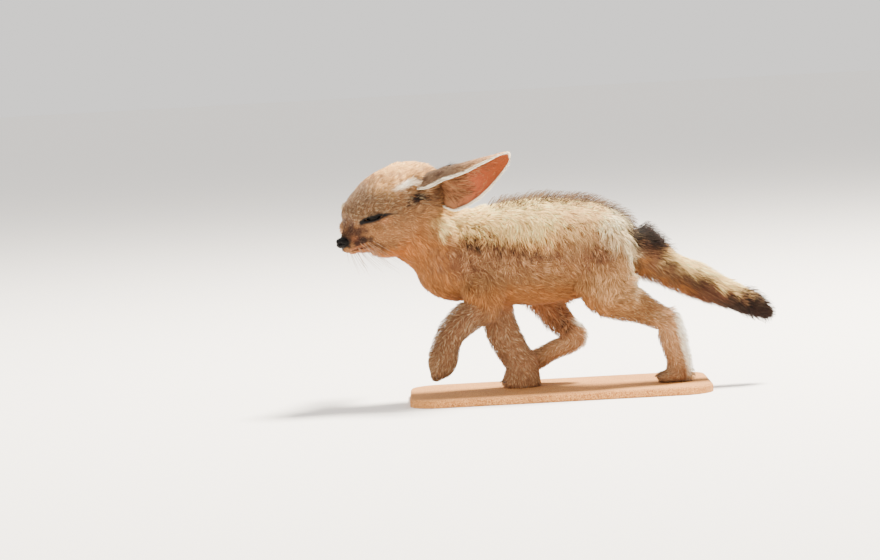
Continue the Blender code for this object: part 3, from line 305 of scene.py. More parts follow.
@dataclass(frozen=True)
class Shell:
    """A triangle mesh in the body frame: points (n, 3) in mm and corners (m, 3)."""

    points: Array
    corners: Array

    @staticmethod
    def joined(shells: list[Shell]) -> Shell:
        """One shell with all of them, unfused."""
        starts = np.cumsum([0] + [len(s.points) for s in shells[:-1]])
        corners = [s.corners + k for s, k in zip(shells, starts)]
        return Shell(np.concatenate([s.points for s in shells]), np.concatenate(corners))

    @staticmethod
    def of(mesh: bpy.types.Mesh) -> Shell:
        """The triangles of a mesh."""
        mesh.calc_loop_triangles()
        points = np.zeros(len(mesh.vertices) * 3)
        corners = np.zeros(len(mesh.loop_triangles) * 3, np.int64)
        mesh.vertices.foreach_get("co", points)
        mesh.loop_triangles.foreach_get("vertices", corners)
        return Shell(points.reshape(-1, 3), corners.reshape(-1, 3))

    @staticmethod
    def tube(rings: Array, start: Array | None = None, tip: Array | None = None) -> Shell:
        """A closed tube of rings, with a fan of triangles to a pole at each end.

        Args:
            rings: array (rings, sides, 3), each ring anticlockwise about the way the tube runs.
            start: the first pole, if not the middle of the first ring.
            tip: the last pole, if not the middle of the last ring.
        Returns:
            The shell, facing outwards.
        """
        count, sides = rings.shape[:2]
        poles = [rings[0].mean(axis=0) if start is None else start, rings[-1].mean(axis=0) if tip is None else tip]
        return Shell(np.vstack([rings.reshape(-1, 3), *poles]), tube_corners(count, sides))

    @property
    def thirds(self) -> tuple[Array, Array, Array]:
        """The first, the second and the third point of every face."""
        return tuple(self.points[self.corners[:, k]] for k in range(3))

    def outward(self) -> Shell:
        """The same shell with its faces turned out, by the sign of the volume that it encloses."""
        a, b, c = self.thirds
        inside_out = np.einsum("ij,ij->i", a, np.cross(b, c)).sum() < 0
        return Shell(self.points, self.corners[:, ::-1]) if inside_out else self

    def normals(self) -> Array:
        """Unit normals at the points: sums of the cross products of the edges of the faces round each."""
        a, b, c = self.thirds
        face, size = np.cross(b - a, c - a), len(self.points)
        totals = [np.bincount(self.corners.ravel(), np.repeat(face[:, axis], 3), size) for axis in range(3)]
        return unit(np.stack(totals, axis=1))

    def mesh(self, name: str) -> bpy.types.Mesh:
        """A Blender mesh of the shell, still in mm."""
        mesh = bpy.data.meshes.new(name)
        mesh.vertices.add(len(self.points))
        mesh.vertices.foreach_set("co", self.points.astype(np.float32).ravel())
        mesh.loops.add(self.corners.size)
        mesh.loops.foreach_set("vertex_index", self.corners.astype(np.int32).ravel())
        mesh.polygons.add(len(self.corners))
        mesh.polygons.foreach_set("loop_start", np.arange(0, self.corners.size, 3, dtype=np.int32))
        mesh.update(calc_edges=True)
        return mesh

    def changed(self, *settings: dict) -> Shell:
        """The shell after modifiers.

        Args:
            settings: for each modifier its "kind" and the values of its properties.
        Returns:
            The evaluated shell.
        """
        obj = linked("work", self.mesh("work"))
        for values in settings:
            modifier = obj.modifiers.new("work", values["kind"])
            for key, value in values.items():
                if key != "kind":
                    setattr(modifier, key, value)
        bpy.context.view_layer.update()
        shape = obj.evaluated_get(bpy.context.evaluated_depsgraph_get())
        made = Shell.of(shape.to_mesh())
        shape.to_mesh_clear()
        old = obj.data
        bpy.data.objects.remove(obj)
        bpy.data.meshes.remove(old)
        return made

    def combined(self, other: Shell, operation: str) -> Shell:
        """The shell after one Boolean with another closed shell."""
        tool = linked("tool", other.mesh("tool"))
        made = self.changed({"kind": "BOOLEAN", "operation": operation, "solver": "MANIFOLD", "object": tool})
        bpy.data.objects.remove(tool)
        return made

    def tree(self) -> BVHTree:
        """A tree for casting rays at the shell."""
        return BVHTree.FromPolygons(self.points.tolist(), self.corners.tolist())


def tube_corners(count: int, sides: int) -> Array:
    """Triangles of a closed tube; its points are the rings in order, then the first and the last pole."""
    i, j = np.meshgrid(np.arange(count - 1), np.arange(sides), indexing="ij")
    k = (j + 1) % sides
    wall = quads(i * sides + j, i * sides + k, (i + 1) * sides + k, (i + 1) * sides + j)
    first, base = np.full(sides, count * sides), (count - 1) * sides
    j, k = j[0], k[0]
    return np.concatenate([wall, np.stack([first, k, j], 1), np.stack([first + 1, base + j, base + k], 1)])


def ring_axes(centres: Array, across: Point = (0.0, 1.0, 0.0)) -> tuple[Array, Array, Array]:
    """Tangent, side and rise at each centre: the path's gradient, across made square to it, and their cross."""
    tangent = unit(np.gradient(centres, axis=0))
    side = unit(np.array(across) - tangent * (tangent @ np.array(across))[:, None])
    return tangent, side, np.cross(tangent, side)


@dataclass(frozen=True)
class Loft:
    """A body form as an elliptic tube along stations."""

    stations: tuple[Row, ...]
    sides: int = 40
    rings: int = 24
    cap: float = 0.75  # depth of each rounded end, as a share of its radius

    def shell(self) -> Shell:
        """The tube with rounded ends.

        Returns:
            Centre + side w cos(a) + rise r sin(a), with r the reach up or down; two more rings narrow each end.
        """
        rows = through(self.stations, self.rings)
        centres, half, up, down = rows[:, :3], rows[:, 3], rows[:, 4], rows[:, 5]
        tangent, side, rise = ring_axes(centres)
        turn = np.linspace(0.0, 2 * math.pi, self.sides, endpoint=False)
        cosine, sine = np.cos(turn)[None, :, None], np.sin(turn)[None, :, None]
        reach = np.where(np.sin(turn)[None, :] >= 0, up[:, None], down[:, None])[:, :, None]
        offset = side[:, None] * half[:, None, None] * cosine + rise[:, None] * reach * sine
        ends = []
        for at, way in ((0, -1.0), (-1, 1.0)):
            depth = self.cap * min(half[at], 0.5 * (up[at] + down[at]))
            for angle in (math.radians(72), math.radians(42)):
                centre = centres[at] + way * tangent[at] * depth * math.sin(angle)
                ends.append(centre[None] + offset[at] * math.cos(angle))
        body = centres[:, None] + offset
        return Shell.tube(np.concatenate([[ends[0]], [ends[1]], body, [ends[3]], [ends[2]]]))


def skull_stations() -> tuple[Row, ...]:
    """The head's stations from nape to muzzle, as rows of a loft in the head frame."""
    return tuple((f, 0.0, c, w, u, d) for f, c, w, u, d in reversed(SKULL))


def ellipsoid(centre: Point, radii: Point, axes: Array | None = None, sides: int = 32) -> Shell:
    """An ellipsoid as a grid of latitude and longitude.

    Args:
        centre: its middle.
        radii: along the rows of axes.
        axes: array (3, 3), or None for x, y and z.
        sides: points round it.
    Returns:
        centre + (cos a sin b, sin a sin b, cos b) scaled by the radii along the axes.
    """
    a = np.linspace(0, 2 * math.pi, sides, endpoint=False)[None, :]
    b = np.linspace(math.pi, 0, sides // 2 + 1)[1:-1, None]
    ball = np.stack([np.cos(a) * np.sin(b), np.sin(a) * np.sin(b), np.cos(b) + 0 * a], axis=-1)
    axes = np.eye(3) if axes is None else axes
    way = np.array(radii)[:, None] * axes
    middle = np.array(centre, float)
    return Shell.tube(ball @ way + middle, middle - way[2], middle + way[2]).outward()


def sweep(path: Array, radii: Array, sides: int = 12, across: Point = (0.0, 0.0, 1.0)) -> Shell:
    """A round tube along a path: centre + radius (side cos a + rise sin a)."""
    _, side, rise = ring_axes(path, across)
    a = np.linspace(0, 2 * math.pi, sides, endpoint=False)[None, :, None]
    rings = path[:, None] + np.asarray(radii)[:, None, None] * (side[:, None] * np.cos(a) + rise[:, None] * np.sin(a))
    return Shell.tube(rings).outward()


@dataclass(frozen=True)
class Where:
    """Where points lie along and round an axis."""

    mark: Array  # 0 at its start to 1 at its end
    rho: Array  # 1 on the loft's surface
    turn: Array  # radians round it, 0 to its side and a quarter turn up
    out: Array  # unit direction away from it
    tangent: Array  # the axis's direction there


class Axis:
    """The middle line of a part, with its reach round it."""

    def __init__(self, stations: tuple[Row, ...], steps: int = 120, turned: HeadFrame | None = None) -> None:
        """Samples the stations.

        Args:
            stations: rows of x, y, z, half-width, reach up and reach down.
            steps: how many samples to keep.
            turned: the frame that the rows are in, or None for the body frame.
        """
        rows = through(stations, steps)
        self.centres = rows[:, :3]
        self.tangent, self.side, self.rise = ring_axes(self.centres)
        self.reach = rows[:, 3:6]
        if turned is not None:
            self.centres = turned.to_body(self.centres)
            self.tangent, self.side, self.rise = (v @ turned.axes for v in (self.tangent, self.side, self.rise))

    def locate(self, points: Array) -> Where:
        """Finds the nearest sample of the axis for each point, and the point's place round it."""
        near, _ = nearest(points, self.centres, 20000)
        away = points - self.centres[near]
        half, up, down = self.reach[near].T
        across = (away * self.side[near]).sum(1) / half
        rise = (away * self.rise[near]).sum(1)
        rise = rise / np.where(rise > 0, up, down)
        along = (away * self.tangent[near]).sum(1)
        rho = np.sqrt(across**2 + rise**2 + (along / (0.5 * (half + up))) ** 2)
        out = unit(away - self.tangent[near] * along[:, None])
        return Where(near / (len(self.centres) - 1), rho, np.arctan2(rise, across), out, self.tangent[near])


class Body:
    """All parts' axes, and which part each point belongs to."""

    def __init__(self) -> None:
        """Builds one axis for each part; a leg's runs through all of its lofts."""
        self.axes = {Part.HEAD: Axis(skull_stations(), turned=HEAD), Part.NECK: Axis(NECK)}
        self.axes |= {Part.TORSO: Axis(TORSO), Part.TAIL: Axis(TAIL)}
        for part, lofts in LIMBS.items():
            rows = lofts[0] + tuple(row for loft in lofts[1:] for row in loft[1:])
            self.axes[part] = Axis(rows)

    def places(self, points: Array) -> tuple[dict[Part, Where], Array]:
        """Where points lie on every part.

        Args:
            points: array (n, 3) in mm.
        Returns:
            Each part's Where, and weights (n, parts) that sum to 1 and favour the nearest axis.
        """
        where = {part: axis.locate(points) for part, axis in self.axes.items()}
        rho = np.stack([where[part].rho for part in Part], axis=1)
        weight = np.maximum(rho, 0.05) ** -9.0
        return where, weight / weight.sum(axis=1, keepdims=True)

    def skin_depth(self, points: Array) -> Array:
        """How far the skin lies under the outline of the coat, in mm, part by part and blended."""
        where, weight = self.places(points)
        head = HEAD.to_head(points)
        forward = head[:, 0]
        cheek = ease(30, 5, forward) * ease(0, -18, head[:, 2])
        depth = np.zeros((len(points), len(Part)))
        depth[:, 0] = 0.5 + 1.0 * ease(52, 25, forward) + 0.8 * cheek + 1.0 * ease(-15, -45, forward)
        depth[:, 1] = 5.0
        lower = ease(-0.1, -0.75, np.sin(where[Part.TORSO].turn))
        depth[:, 2] = 7.2 - 4.0 * lower
        tail = self.axes[Part.TAIL]
        near = np.rint(where[Part.TAIL].mark * (len(tail.centres) - 1)).astype(int)
        depth[:, 3] = 0.5 * tail.reach[near].mean(axis=1)
        for part in LEGS:
            mark = where[part].mark
            depth[:, part.value] = 5.0 - 2.8 * ease(0.15, 0.42, mark) - 1.2 * ease(0.45, 0.8, mark)
        return (depth * weight).sum(axis=1)


@dataclass(frozen=True)
class Eye:
    """One eye of the squinting pair, given for the near side in the head frame."""

    side: int
    radius: float = 7.4
    centre: Point = (34.6, 14.9, 3.9)
    facing: Point = (0.53, 0.84, 0.09)
    line: Point = (-0.85, 0.52, -0.08)
    slit: tuple[float, float] = (10.2, 1.7)

    def mirrored(self, point: Point) -> Array:
        """A point or direction on this eye's side."""
        return np.array([point[0], self.side * point[1], point[2]])

    @property
    def axes(self) -> Array:
        """Rows along the slit, up and out, in the head frame."""
        out = unit(self.mirrored(self.facing))
        line = self.mirrored(self.line)
        line = unit(line - out * (line @ out))
        return np.stack([line, np.cross(out, line), out])

    def lid_forms(self) -> list[Shell]:
        """The swelling of the lids over the ball and the soft rim of each lid, in the head frame."""
        line, up, out = self.axes
        centre = self.mirrored(self.centre)
        made = [ellipsoid(tuple(centre), (12.0, 8.6, 9.2), self.axes)]
        turn = np.radians(np.linspace(-74, 74, 25))[:, None]
        for way in (1.0, -1.0):
            lift = way * 2.7 * np.cos(turn) ** 0.8 * (1.25 if way * up[2] > 0 else 1.0)
            path = centre + (line * np.sin(turn) * 1.1 + out * np.cos(turn)) * 8.0 + up * lift
            made.append(sweep(path, 1.15 * np.cos(turn[:, 0] * 0.85) ** 0.5 + 0.15, 12, tuple(up)))
        return made

    def opening(self) -> Shell:
        """What the socket and the slit between the lids take away, in the head frame."""
        centre = self.mirrored(self.centre)
        return ellipsoid(tuple(centre + self.axes[2] * self.radius), (*self.slit, 6.5), self.axes)

    def ball(self, radius: float, sides: int = 32) -> Shell:
        """A ball about the eye's middle, in the head frame."""
        return ellipsoid(tuple(self.mirrored(self.centre)), (radius,) * 3, self.axes, sides)


@dataclass(frozen=True)
class Ear:
    """One large ear: a developed sheet that curls into a cup, with a wall of its own."""

    name: str
    root: Point
    tip: Point
    facing: Point
    hand: int
    length: float = 91.0
    buried: float = 24.0
    rows: int = 84
    columns: int = 56
    # Distance from the root, developed width, turn of the whole sheet and where it starts, in degrees.
    profile: tuple[Row, ...] = (
        (-24, 46, 238, -93), (-10, 58, 230, -85), (5, 68, 215, -72), (20, 70, 200, -62), (35, 66, 190, -55),
        (48, 58, 180, -50), (60, 47, 165, -46), (70, 36, 150, -42), (80, 24, 130, -38), (86, 16, 115, -35),
        (89.5, 9, 105, -35), (91, 4, 100, -35),
    )

    def frame(self) -> tuple[Array, Array]:
        """Origin and the rows along, up and out of the ear in the body frame."""
        root = np.array(self.root, float)
        along = unit(np.array(self.tip, float) - root)
        out = np.array(self.facing, float)
        out = unit(out - along * (out @ along))
        return root, np.stack([along, np.cross(out, along) * self.hand, out])

    def sheet(self) -> Array:
        """The middle surface, as a grid in the body frame.

        Returns:
            Array (rows, columns, 3). Along a row the sheet turns by a share of the row's whole
            turn, and the points are running sums of that angle's cosine and sine times the step.
        """
        run = np.linspace(1.0, 0.0, self.rows)
        reach = self.length * (1.0 - run**1.15) - self.buried * run**2
        across = np.linspace(0.0, 1.0, self.columns)
        table = np.array(self.profile, float).T
        width, turn, start = (np.interp(reach, table[0], table[k]) for k in (1, 2, 3))
        share = np.clip(reach / self.length, 0.0, 1.0)
        even = np.clip(1.0 - 3.0 * share, 0.25, 1.0)[:, None]
        late = ease(0.5, 1.0, across)
        bend = even * across[None] + (1.0 - even) * (0.3 * across + 0.7 * late)[None]
        angle = np.radians(start)[:, None] + np.radians(turn)[:, None] * bend
        step = width[:, None] / (self.columns - 1)
        up, out = np.cumsum(np.cos(angle) * step, axis=1), np.cumsum(np.sin(angle) * step, axis=1)
        anchor = int(round(0.68 * (self.columns - 1)))
        up, out = up - up[:, anchor : anchor + 1], out - out[:, anchor : anchor + 1]
        local = np.stack([np.repeat(reach[:, None], self.columns, axis=1), up, out], axis=2)
        origin, axes = self.frame()
        return local @ axes + origin

    def faces(self) -> tuple[Array, Array, Array, Array]:
        """The sheet with its derivatives.

        Returns:
            Points, unit directions to the tip and to the front margin, and unit normals out of
            the cup, each (rows, columns, 3).
        """
        points = self.sheet()
        tipward, frontward = unit(np.gradient(points, axis=0)), unit(np.gradient(points, axis=1))
        normal = unit(np.cross(tipward, frontward))
        half = self.rows // 2
        if (normal[half:, : self.columns // 2].mean(axis=(0, 1)) @ self.frame()[1][2]) < 0:
            normal = -normal
        return points, tipward, frontward, normal

    def wall(self) -> Array:
        """Half the wall's thickness over the grid, thin at the margins and the tip."""
        across = np.linspace(0.0, 1.0, self.columns)[None]
        along = np.linspace(0.0, 1.0, self.rows)[:, None]
        edge = np.minimum(ease(0.0, 0.22, across), ease(1.0, 0.78, across))
        return 0.28 + 0.42 * edge * (1.0 - 0.5 * along)

    def shell(self) -> Shell:
        """The closed wall: the middle surface pushed both ways, joined round its four borders."""
        points, _, _, normal = self.faces()
        half, other = self.wall()[..., None], self.rows * self.columns
        grid = np.arange(other).reshape(self.rows, self.columns)
        front = quads(grid[:-1, :-1], grid[:-1, 1:], grid[1:, 1:], grid[1:, :-1])
        loop = np.concatenate([grid[0, :-1], grid[:-1, -1], grid[-1, :0:-1], grid[:0:-1, 0]])
        after = np.roll(loop, -1)
        rim = quads(after, loop, loop + other, after + other)
        both = np.concatenate([(points + normal * half).reshape(-1, 3), (points - normal * half).reshape(-1, 3)])
        return Shell(both, np.concatenate([front, front[:, ::-1] + other, rim])).outward()


EARS = (
    Ear("ear_left", (-136, -22, 213), (-51, -48, 235), (-0.10, -0.90, -0.42), 1),
    Ear("ear_right", (-169, 20, 206), (-150, 107, 193), (-0.88, 0.18, -0.42), -1),
)
EYES = (Eye(1), Eye(-1))


def near_path(points: Array, path: Array) -> tuple[Array, Array]:
    """Least distance from each point to a polyline, and how far along it the nearest place is, 0 to 1."""
    best, share = np.full(len(points), np.inf), np.zeros(len(points))
    lengths = np.linalg.norm(np.diff(path, axis=0), axis=1)
    marks = np.concatenate([[0.0], np.cumsum(lengths)]) / lengths.sum()
    for k, (a, b) in enumerate(zip(path[:-1], path[1:])):
        run = b - a
        t = np.clip((points - a) @ run / max(run @ run, 1e-9), 0.0, 1.0)
        gap = np.linalg.norm(points - a - t[:, None] * run, axis=1)
        share = np.where(gap < best, marks[k] + t * (marks[k + 1] - marks[k]), share)
        best = np.minimum(best, gap)
    return best, share


def toe_row(part: Part, steps: tuple[float, ...] = (-1.5, -0.5, 0.5, 1.5)) -> tuple[list[Array], Array, float]:
    """Places across a paw, the outermost a little back, the way the toes point and their radius."""
    middle, way, spread, radius = TOES[part]
    way = unit(np.array(way, float))
    back = [OUTER_TOE_BACK if abs(k) > 1 else 0.0 for k in steps]
    return [np.array(middle) + np.array([0, k * spread * 2 / 3, 0]) - way * b for k, b in zip(steps, back)], way, radius


def toe_gap(part: Part, points: Array) -> Array:
    """Least distance from each point to the three lines between the toes of a paw."""
    row, way, radius = toe_row(part, (-1.0, 0.0, 1.0))
    paths = (np.array([at + way * radius, at - way * 4.0 + np.array([0, 0, radius * 0.6])]) for at in row)
    return np.min([near_path(points, path)[0] for path in paths], axis=0)


# Fuller forms behind the head and on it: middle and radii, the first two in the body frame.
NAPE = (((-122, 10, 175), (25, 24, 17)), ((-104, 6, 163), (24, 26, 15)))
CHIN = ((58.0, 0.0, -21.5), (6.0, 5.6, 4.0))
NEAR_CHEEK = ((34.0, 15.0, -6.0), (13.0, 8.5, 8.5))
FAR_CHEEK = (((35.0, -10.5, -4.5), (20.0, 17.0, 13.0)), ((29.0, -10.5, -6.0), (22.0, 15.2, 19.0)))
FAR_BROW = (((33.0, -8.0, 13.0), (15.0, 14.5, 10.5)), ((28.0, -8.0, 14.0), (17.0, 13.3, 14.0)))
# Fine folds of the head's left side: path, half-width and depth.
FOLDS: tuple[tuple[tuple[Point, ...], float, float], ...] = (
    (MOUTH, 0.9, 1.3),
    (((51, 14.5, 3.6), (56, 10.5, -3.0), (58, 9.0, -6.0)), 1.4, 0.5),  # tear line
    (((28, 28.0, 4.4), (22, 31.5, 2.4), (16, 34.5, -1.8)), 1.2, 0.7),  # behind the eye's outer corner
    (((47, 16.5, -2.0), (38, 22.5, -4.5), (28, 27.5, -4.0)), 1.6, 0.5),  # under the lower lid
    (((46, 15.5, 11.0), (37, 20.5, 13.5), (28, 25.0, 12.0)), 2.0, 0.6),  # over the upper lid
    (((68, 0.0, -14.0), (67.5, 0.0, -18.5)), 0.8, 0.9),  # below the nose
)


class Skin:
    """The one skin under the coat: body, face and ears in a single closed surface."""

    coarse: float = 1.5
    fine: float = 0.95
    triangles: int = 150000
    lift: float = 0.4  # least height over the base
    lip: float = 1.35  # radius of the lips, which run this much above and below the mouth:
    lip_rise: float = 1.5

    def __init__(self, body: Body) -> None:
        """Keeps the parts' axes."""
        self.body = body

    @staticmethod
    def toes(part: Part) -> list[Shell]:
        """Four toe lobes of a paw."""
        row, _, radius = toe_row(part)
        return [ellipsoid(tuple(at), (radius, radius * 0.72, radius * 0.8)) for at in row]

    def outline(self) -> Shell:
        """The outline of the coat: every loft of the body fused."""
        forms = [self.in_head(Loft(skull_stations(), 48, 40).shell())]
        forms += [Loft(NECK).shell(), Loft(TORSO, 48, 36).shell(), Loft(TAIL, 28, 48).shell()]
        for part, lofts in LIMBS.items():
            forms += [Loft(rows, 32, 20).shell() for rows in lofts] + self.toes(part)
        for side in (1, -1):
            forms.append(self.in_head(ellipsoid((-20.0, 17.0 * side, 15.0), (26.0, 20.0, 20.0))))
        joined = Shell.joined(forms + [ellipsoid(*form) for form in NAPE])
        joined.points[:, 2] += np.maximum(0.0, self.lift - STANCE.ground(joined.points))
        return self.fused(joined, self.coarse, 6)

    @staticmethod
    def fused(shell: Shell, voxel: float, rounds: int) -> Shell:
        """One surface round all of a shell, rebuilt from voxels and smoothed."""
        remesh = {"kind": "REMESH", "mode": "VOXEL", "voxel_size": voxel}
        return shell.changed(remesh, {"kind": "SMOOTH", "iterations": rounds})

    @staticmethod
    def in_head(shell: Shell) -> Shell:
        """A shell given in the head frame, in the body frame."""
        return Shell(HEAD.to_body(shell.points), shell.corners)

    @staticmethod
    def mouth_path(tree: BVHTree, rise: float, push: float) -> Array:
        """The line of the mouth on a surface, or one that much above it.

        Args:
            tree: the surface.
            rise: how far above the line.
            push: how far out of the surface.
        Returns:
            Array (n, 3): hits of rays from the head's axis through a smooth curve of the corners.
        """
        line = [(f, l, u + rise) for f, l, u in reversed(MOUTH)] + [(f, -l, u + rise) for f, l, u in MOUTH[1:]]
        curve = through(tuple((*p, 1.0) for p in line), MOUTH_STEPS)[:, :3]
        path = []
        for f, l, u in curve:
            start = Vector(HEAD.to_body(np.array([f - 12.0, 0.0, u + 4.0])))
            way = (Vector(HEAD.to_body(np.array([f, l, u]))) - start).normalized()
            path.append(np.array(tree.ray_cast(start, way)[0] + way * push))
        return np.array(path)

    def face_forms(self, tree: BVHTree) -> list[Shell]:
        """Lips, lids, whisker pads, chin, cheekbones and brows, in the body frame."""
        made = []
        for rise in (self.lip_rise, -self.lip_rise):
            path = self.mouth_path(tree, rise, -0.35)
            taper = np.minimum(np.linspace(0.3, 4, MOUTH_STEPS), np.linspace(4, 0.3, MOUTH_STEPS)).clip(0, 1)
            made.append(sweep(path, self.lip * taper, 12))
        forms = [ellipsoid(*CHIN)]
        for side, eye in zip((1, -1), EYES):
            forms.append(ellipsoid((57.5, 5.2 * side, -14.3), (9.0, 5.6, 5.6)))
            forms += eye.lid_forms()
        forms += [ellipsoid(*form) for form in (NEAR_CHEEK, *FAR_CHEEK, *FAR_BROW)]
        return made + [self.in_head(form) for form in forms]

    def build(self) -> Shell:
        """The body's skin without the ears, with sockets, slits and folds.

        Returns:
            The outline drawn in by the coat's depth, fused with the face's forms, thinned and cut.
        """
        outline = self.outline()
        depth = self.body.skin_depth(outline.points)
        sunk = Shell(outline.points - outline.normals() * depth[:, None], outline.corners)
        fused = self.fused(Shell.joined([sunk] + self.face_forms(sunk.tree())), self.fine, 3)
        fused = self.folded(self.largest(fused))
        fused = fused.changed({"kind": "DECIMATE", "ratio": self.triangles / len(fused.corners)})
        for eye in EYES:
            socket = self.in_head(eye.ball(eye.radius + 0.25))
            fused = fused.combined(socket.combined(self.in_head(eye.opening()), "UNION"), "DIFFERENCE")
        return self.largest(fused)

    @staticmethod
    def folded(shell: Shell) -> Shell:
        """Presses the finer folds of the face and between the toes, each as a bell of its depth across its line."""
        points, head = shell.points, HEAD.to_head(shell.points)
        press = np.zeros(len(points))
        near = (head[:, 0] > 20) & (np.abs(head[:, 1]) < 45)
        for path, width, depth in FOLDS:
            gap, _ = near_path(to_left(head)[near], np.array(path, float))
            press[near] += depth * np.exp(-((gap / width) ** 2))
        for part in LEGS:
            press += 1.1 * np.exp(-((toe_gap(part, points) / 1.2) ** 2))
        return Shell(points - shell.normals() * press[:, None], shell.corners)

    @staticmethod
    def largest(shell: Shell) -> Shell:
        """The largest connected surface of a shell, found by spreading the least label along edges."""
        label = np.arange(len(shell.points))
        a, b = shell.corners.ravel(), np.roll(shell.corners, 1, axis=1).ravel()
        while True:
            least = label.copy()
            np.minimum.at(least, a, label[b])
            np.minimum.at(least, b, label[a])
            least = least[least]
            if np.array_equal(least, label):
                break
            label = least
        main = np.bincount(label[shell.corners[:, 0]]).argmax()
        keep = shell.corners[label[shell.corners[:, 0]] == main]
        used, fresh = np.unique(keep, return_inverse=True)
        return Shell(shell.points[used], fresh.reshape(-1, 3))


class Tone(Enum):
    """The colours of the coat, skin and horn."""

    CREAM = (254, 212, 140)
    PALE = (254, 228, 180)
    WHITE = (254, 240, 212)
    GOLD = (254, 210, 135)
    HONEY = (220, 165, 97)
    SAND = (194, 146, 103)
    # FLANK: a dark tan, partly the flanks' own colour and partly painted shade on them
    FLANK = (120, 82, 47)
    # RUST: partly the coat's own tint, partly painted warm light bounced up from the ground where it lies on the
    # underside
    RUST = (134, 84, 42)
    APRICOT = (164, 101, 64)
    CHEEK = (126, 87, 54)
    AMBER = (160, 90, 34)
    MAUVE = (98, 77, 59)
    TEMPLE = (104, 76, 51)
    BLUSH = (159, 119, 79)
    LEG = (110, 77, 53)
    PAW = (118, 85, 58)
    BROWN = (52, 27, 16)
    MUZZLE = (40, 20, 16)
    SLATE = (66, 46, 42)
    DARK = (16, 8, 6)
    BLACK = (6, 4, 4)
    SALMON = (149, 72, 45)
    EMBER = (124, 57, 24)
    CLAY = (138, 87, 58)

    @property
    def light(self) -> Array:
        """The colour as scene-linear light."""
        return linear(self.value)


DARKS = (Tone.BROWN, Tone.DARK, Tone.BLACK, Tone.MUZZLE)


def plain(tone: Tone, points: Array) -> Array:
    """One tone for every point."""
    return np.tile(tone.light, (len(points), 1))


def laid(colour: Array, *layers: tuple[Tone, Array]) -> Array:
    """A colour with tones laid over it in order, each by a share for each row."""
    for tone, share in layers:
        colour = mixed(colour, tone.light, share)
    return colour


def toned(colour: Array, tone: Tone, share: Array) -> Array:
    """A colour towards a tone by a share; to a dark one by way of clay, so that no half-way mix is olive."""
    by = np.asarray(share, float)
    if tone in DARKS:
        colour = laid(colour, (Tone.CLAY, 2.0 * by * (1.0 - by)))
    return laid(colour, (tone, by))


class Frame(Enum):
    """Which frame a marking's numbers are in."""

    BODY = 0
    HEAD = 1


@dataclass(frozen=True)
class Zone:
    """A soft-edged patch: an ellipsoid or rounded box, on both sides unless side says which."""

    frame: Frame
    centre: Point
    radii: Point
    tone: Tone = Tone.WHITE
    strength: float = 1.0
    edge: float = 0.3
    power: float = 2.0
    side: int = 0
    warp: float = 0.12

    def weight(self, points: Array, ripple: Array | float = 0.0) -> Array:
        """How strongly it holds at points of its frame: 1 inside, 0 outside, by the distance in radii."""
        placed = points.copy()
        if self.side == 0:
            placed[:, 1] = np.abs(points[:, 1]) * (-1 if self.frame is Frame.BODY else 1)
        gap = (np.abs((placed - np.array(self.centre)) / np.array(self.radii)) ** self.power).sum(axis=1)
        gap = gap ** (1 / self.power) + self.warp * ripple
        return self.strength * (1.0 - ease(1 - self.edge, 1 + self.edge, gap))


@dataclass(frozen=True)
class Stroke:
    """A line of colour on the head, the same on both sides, whose half-width follows a table along it."""

    path: tuple[Point, ...]
    width: float
    tone: Tone
    strength: float = 1.0
    taper: tuple[float, ...] = (1.0, 1.0)

    def weight(self, head: Array) -> Array:
        """How strongly it colours points of the head frame, by their distance to the line."""
        gap, share = near_path(to_left(head), np.array(self.path, float))
        wide = self.width * np.interp(share, np.linspace(0, 1, len(self.taper)), self.taper)
        return self.strength * (1.0 - ease(0.6, 1.2, gap / wide))


WIDE = 400.0
LIT_FAR_LEG, LIT_FAR_PAW = 1.55, 1.9  # painted light: how much lighter the far legs are than the near ones, as the lit side
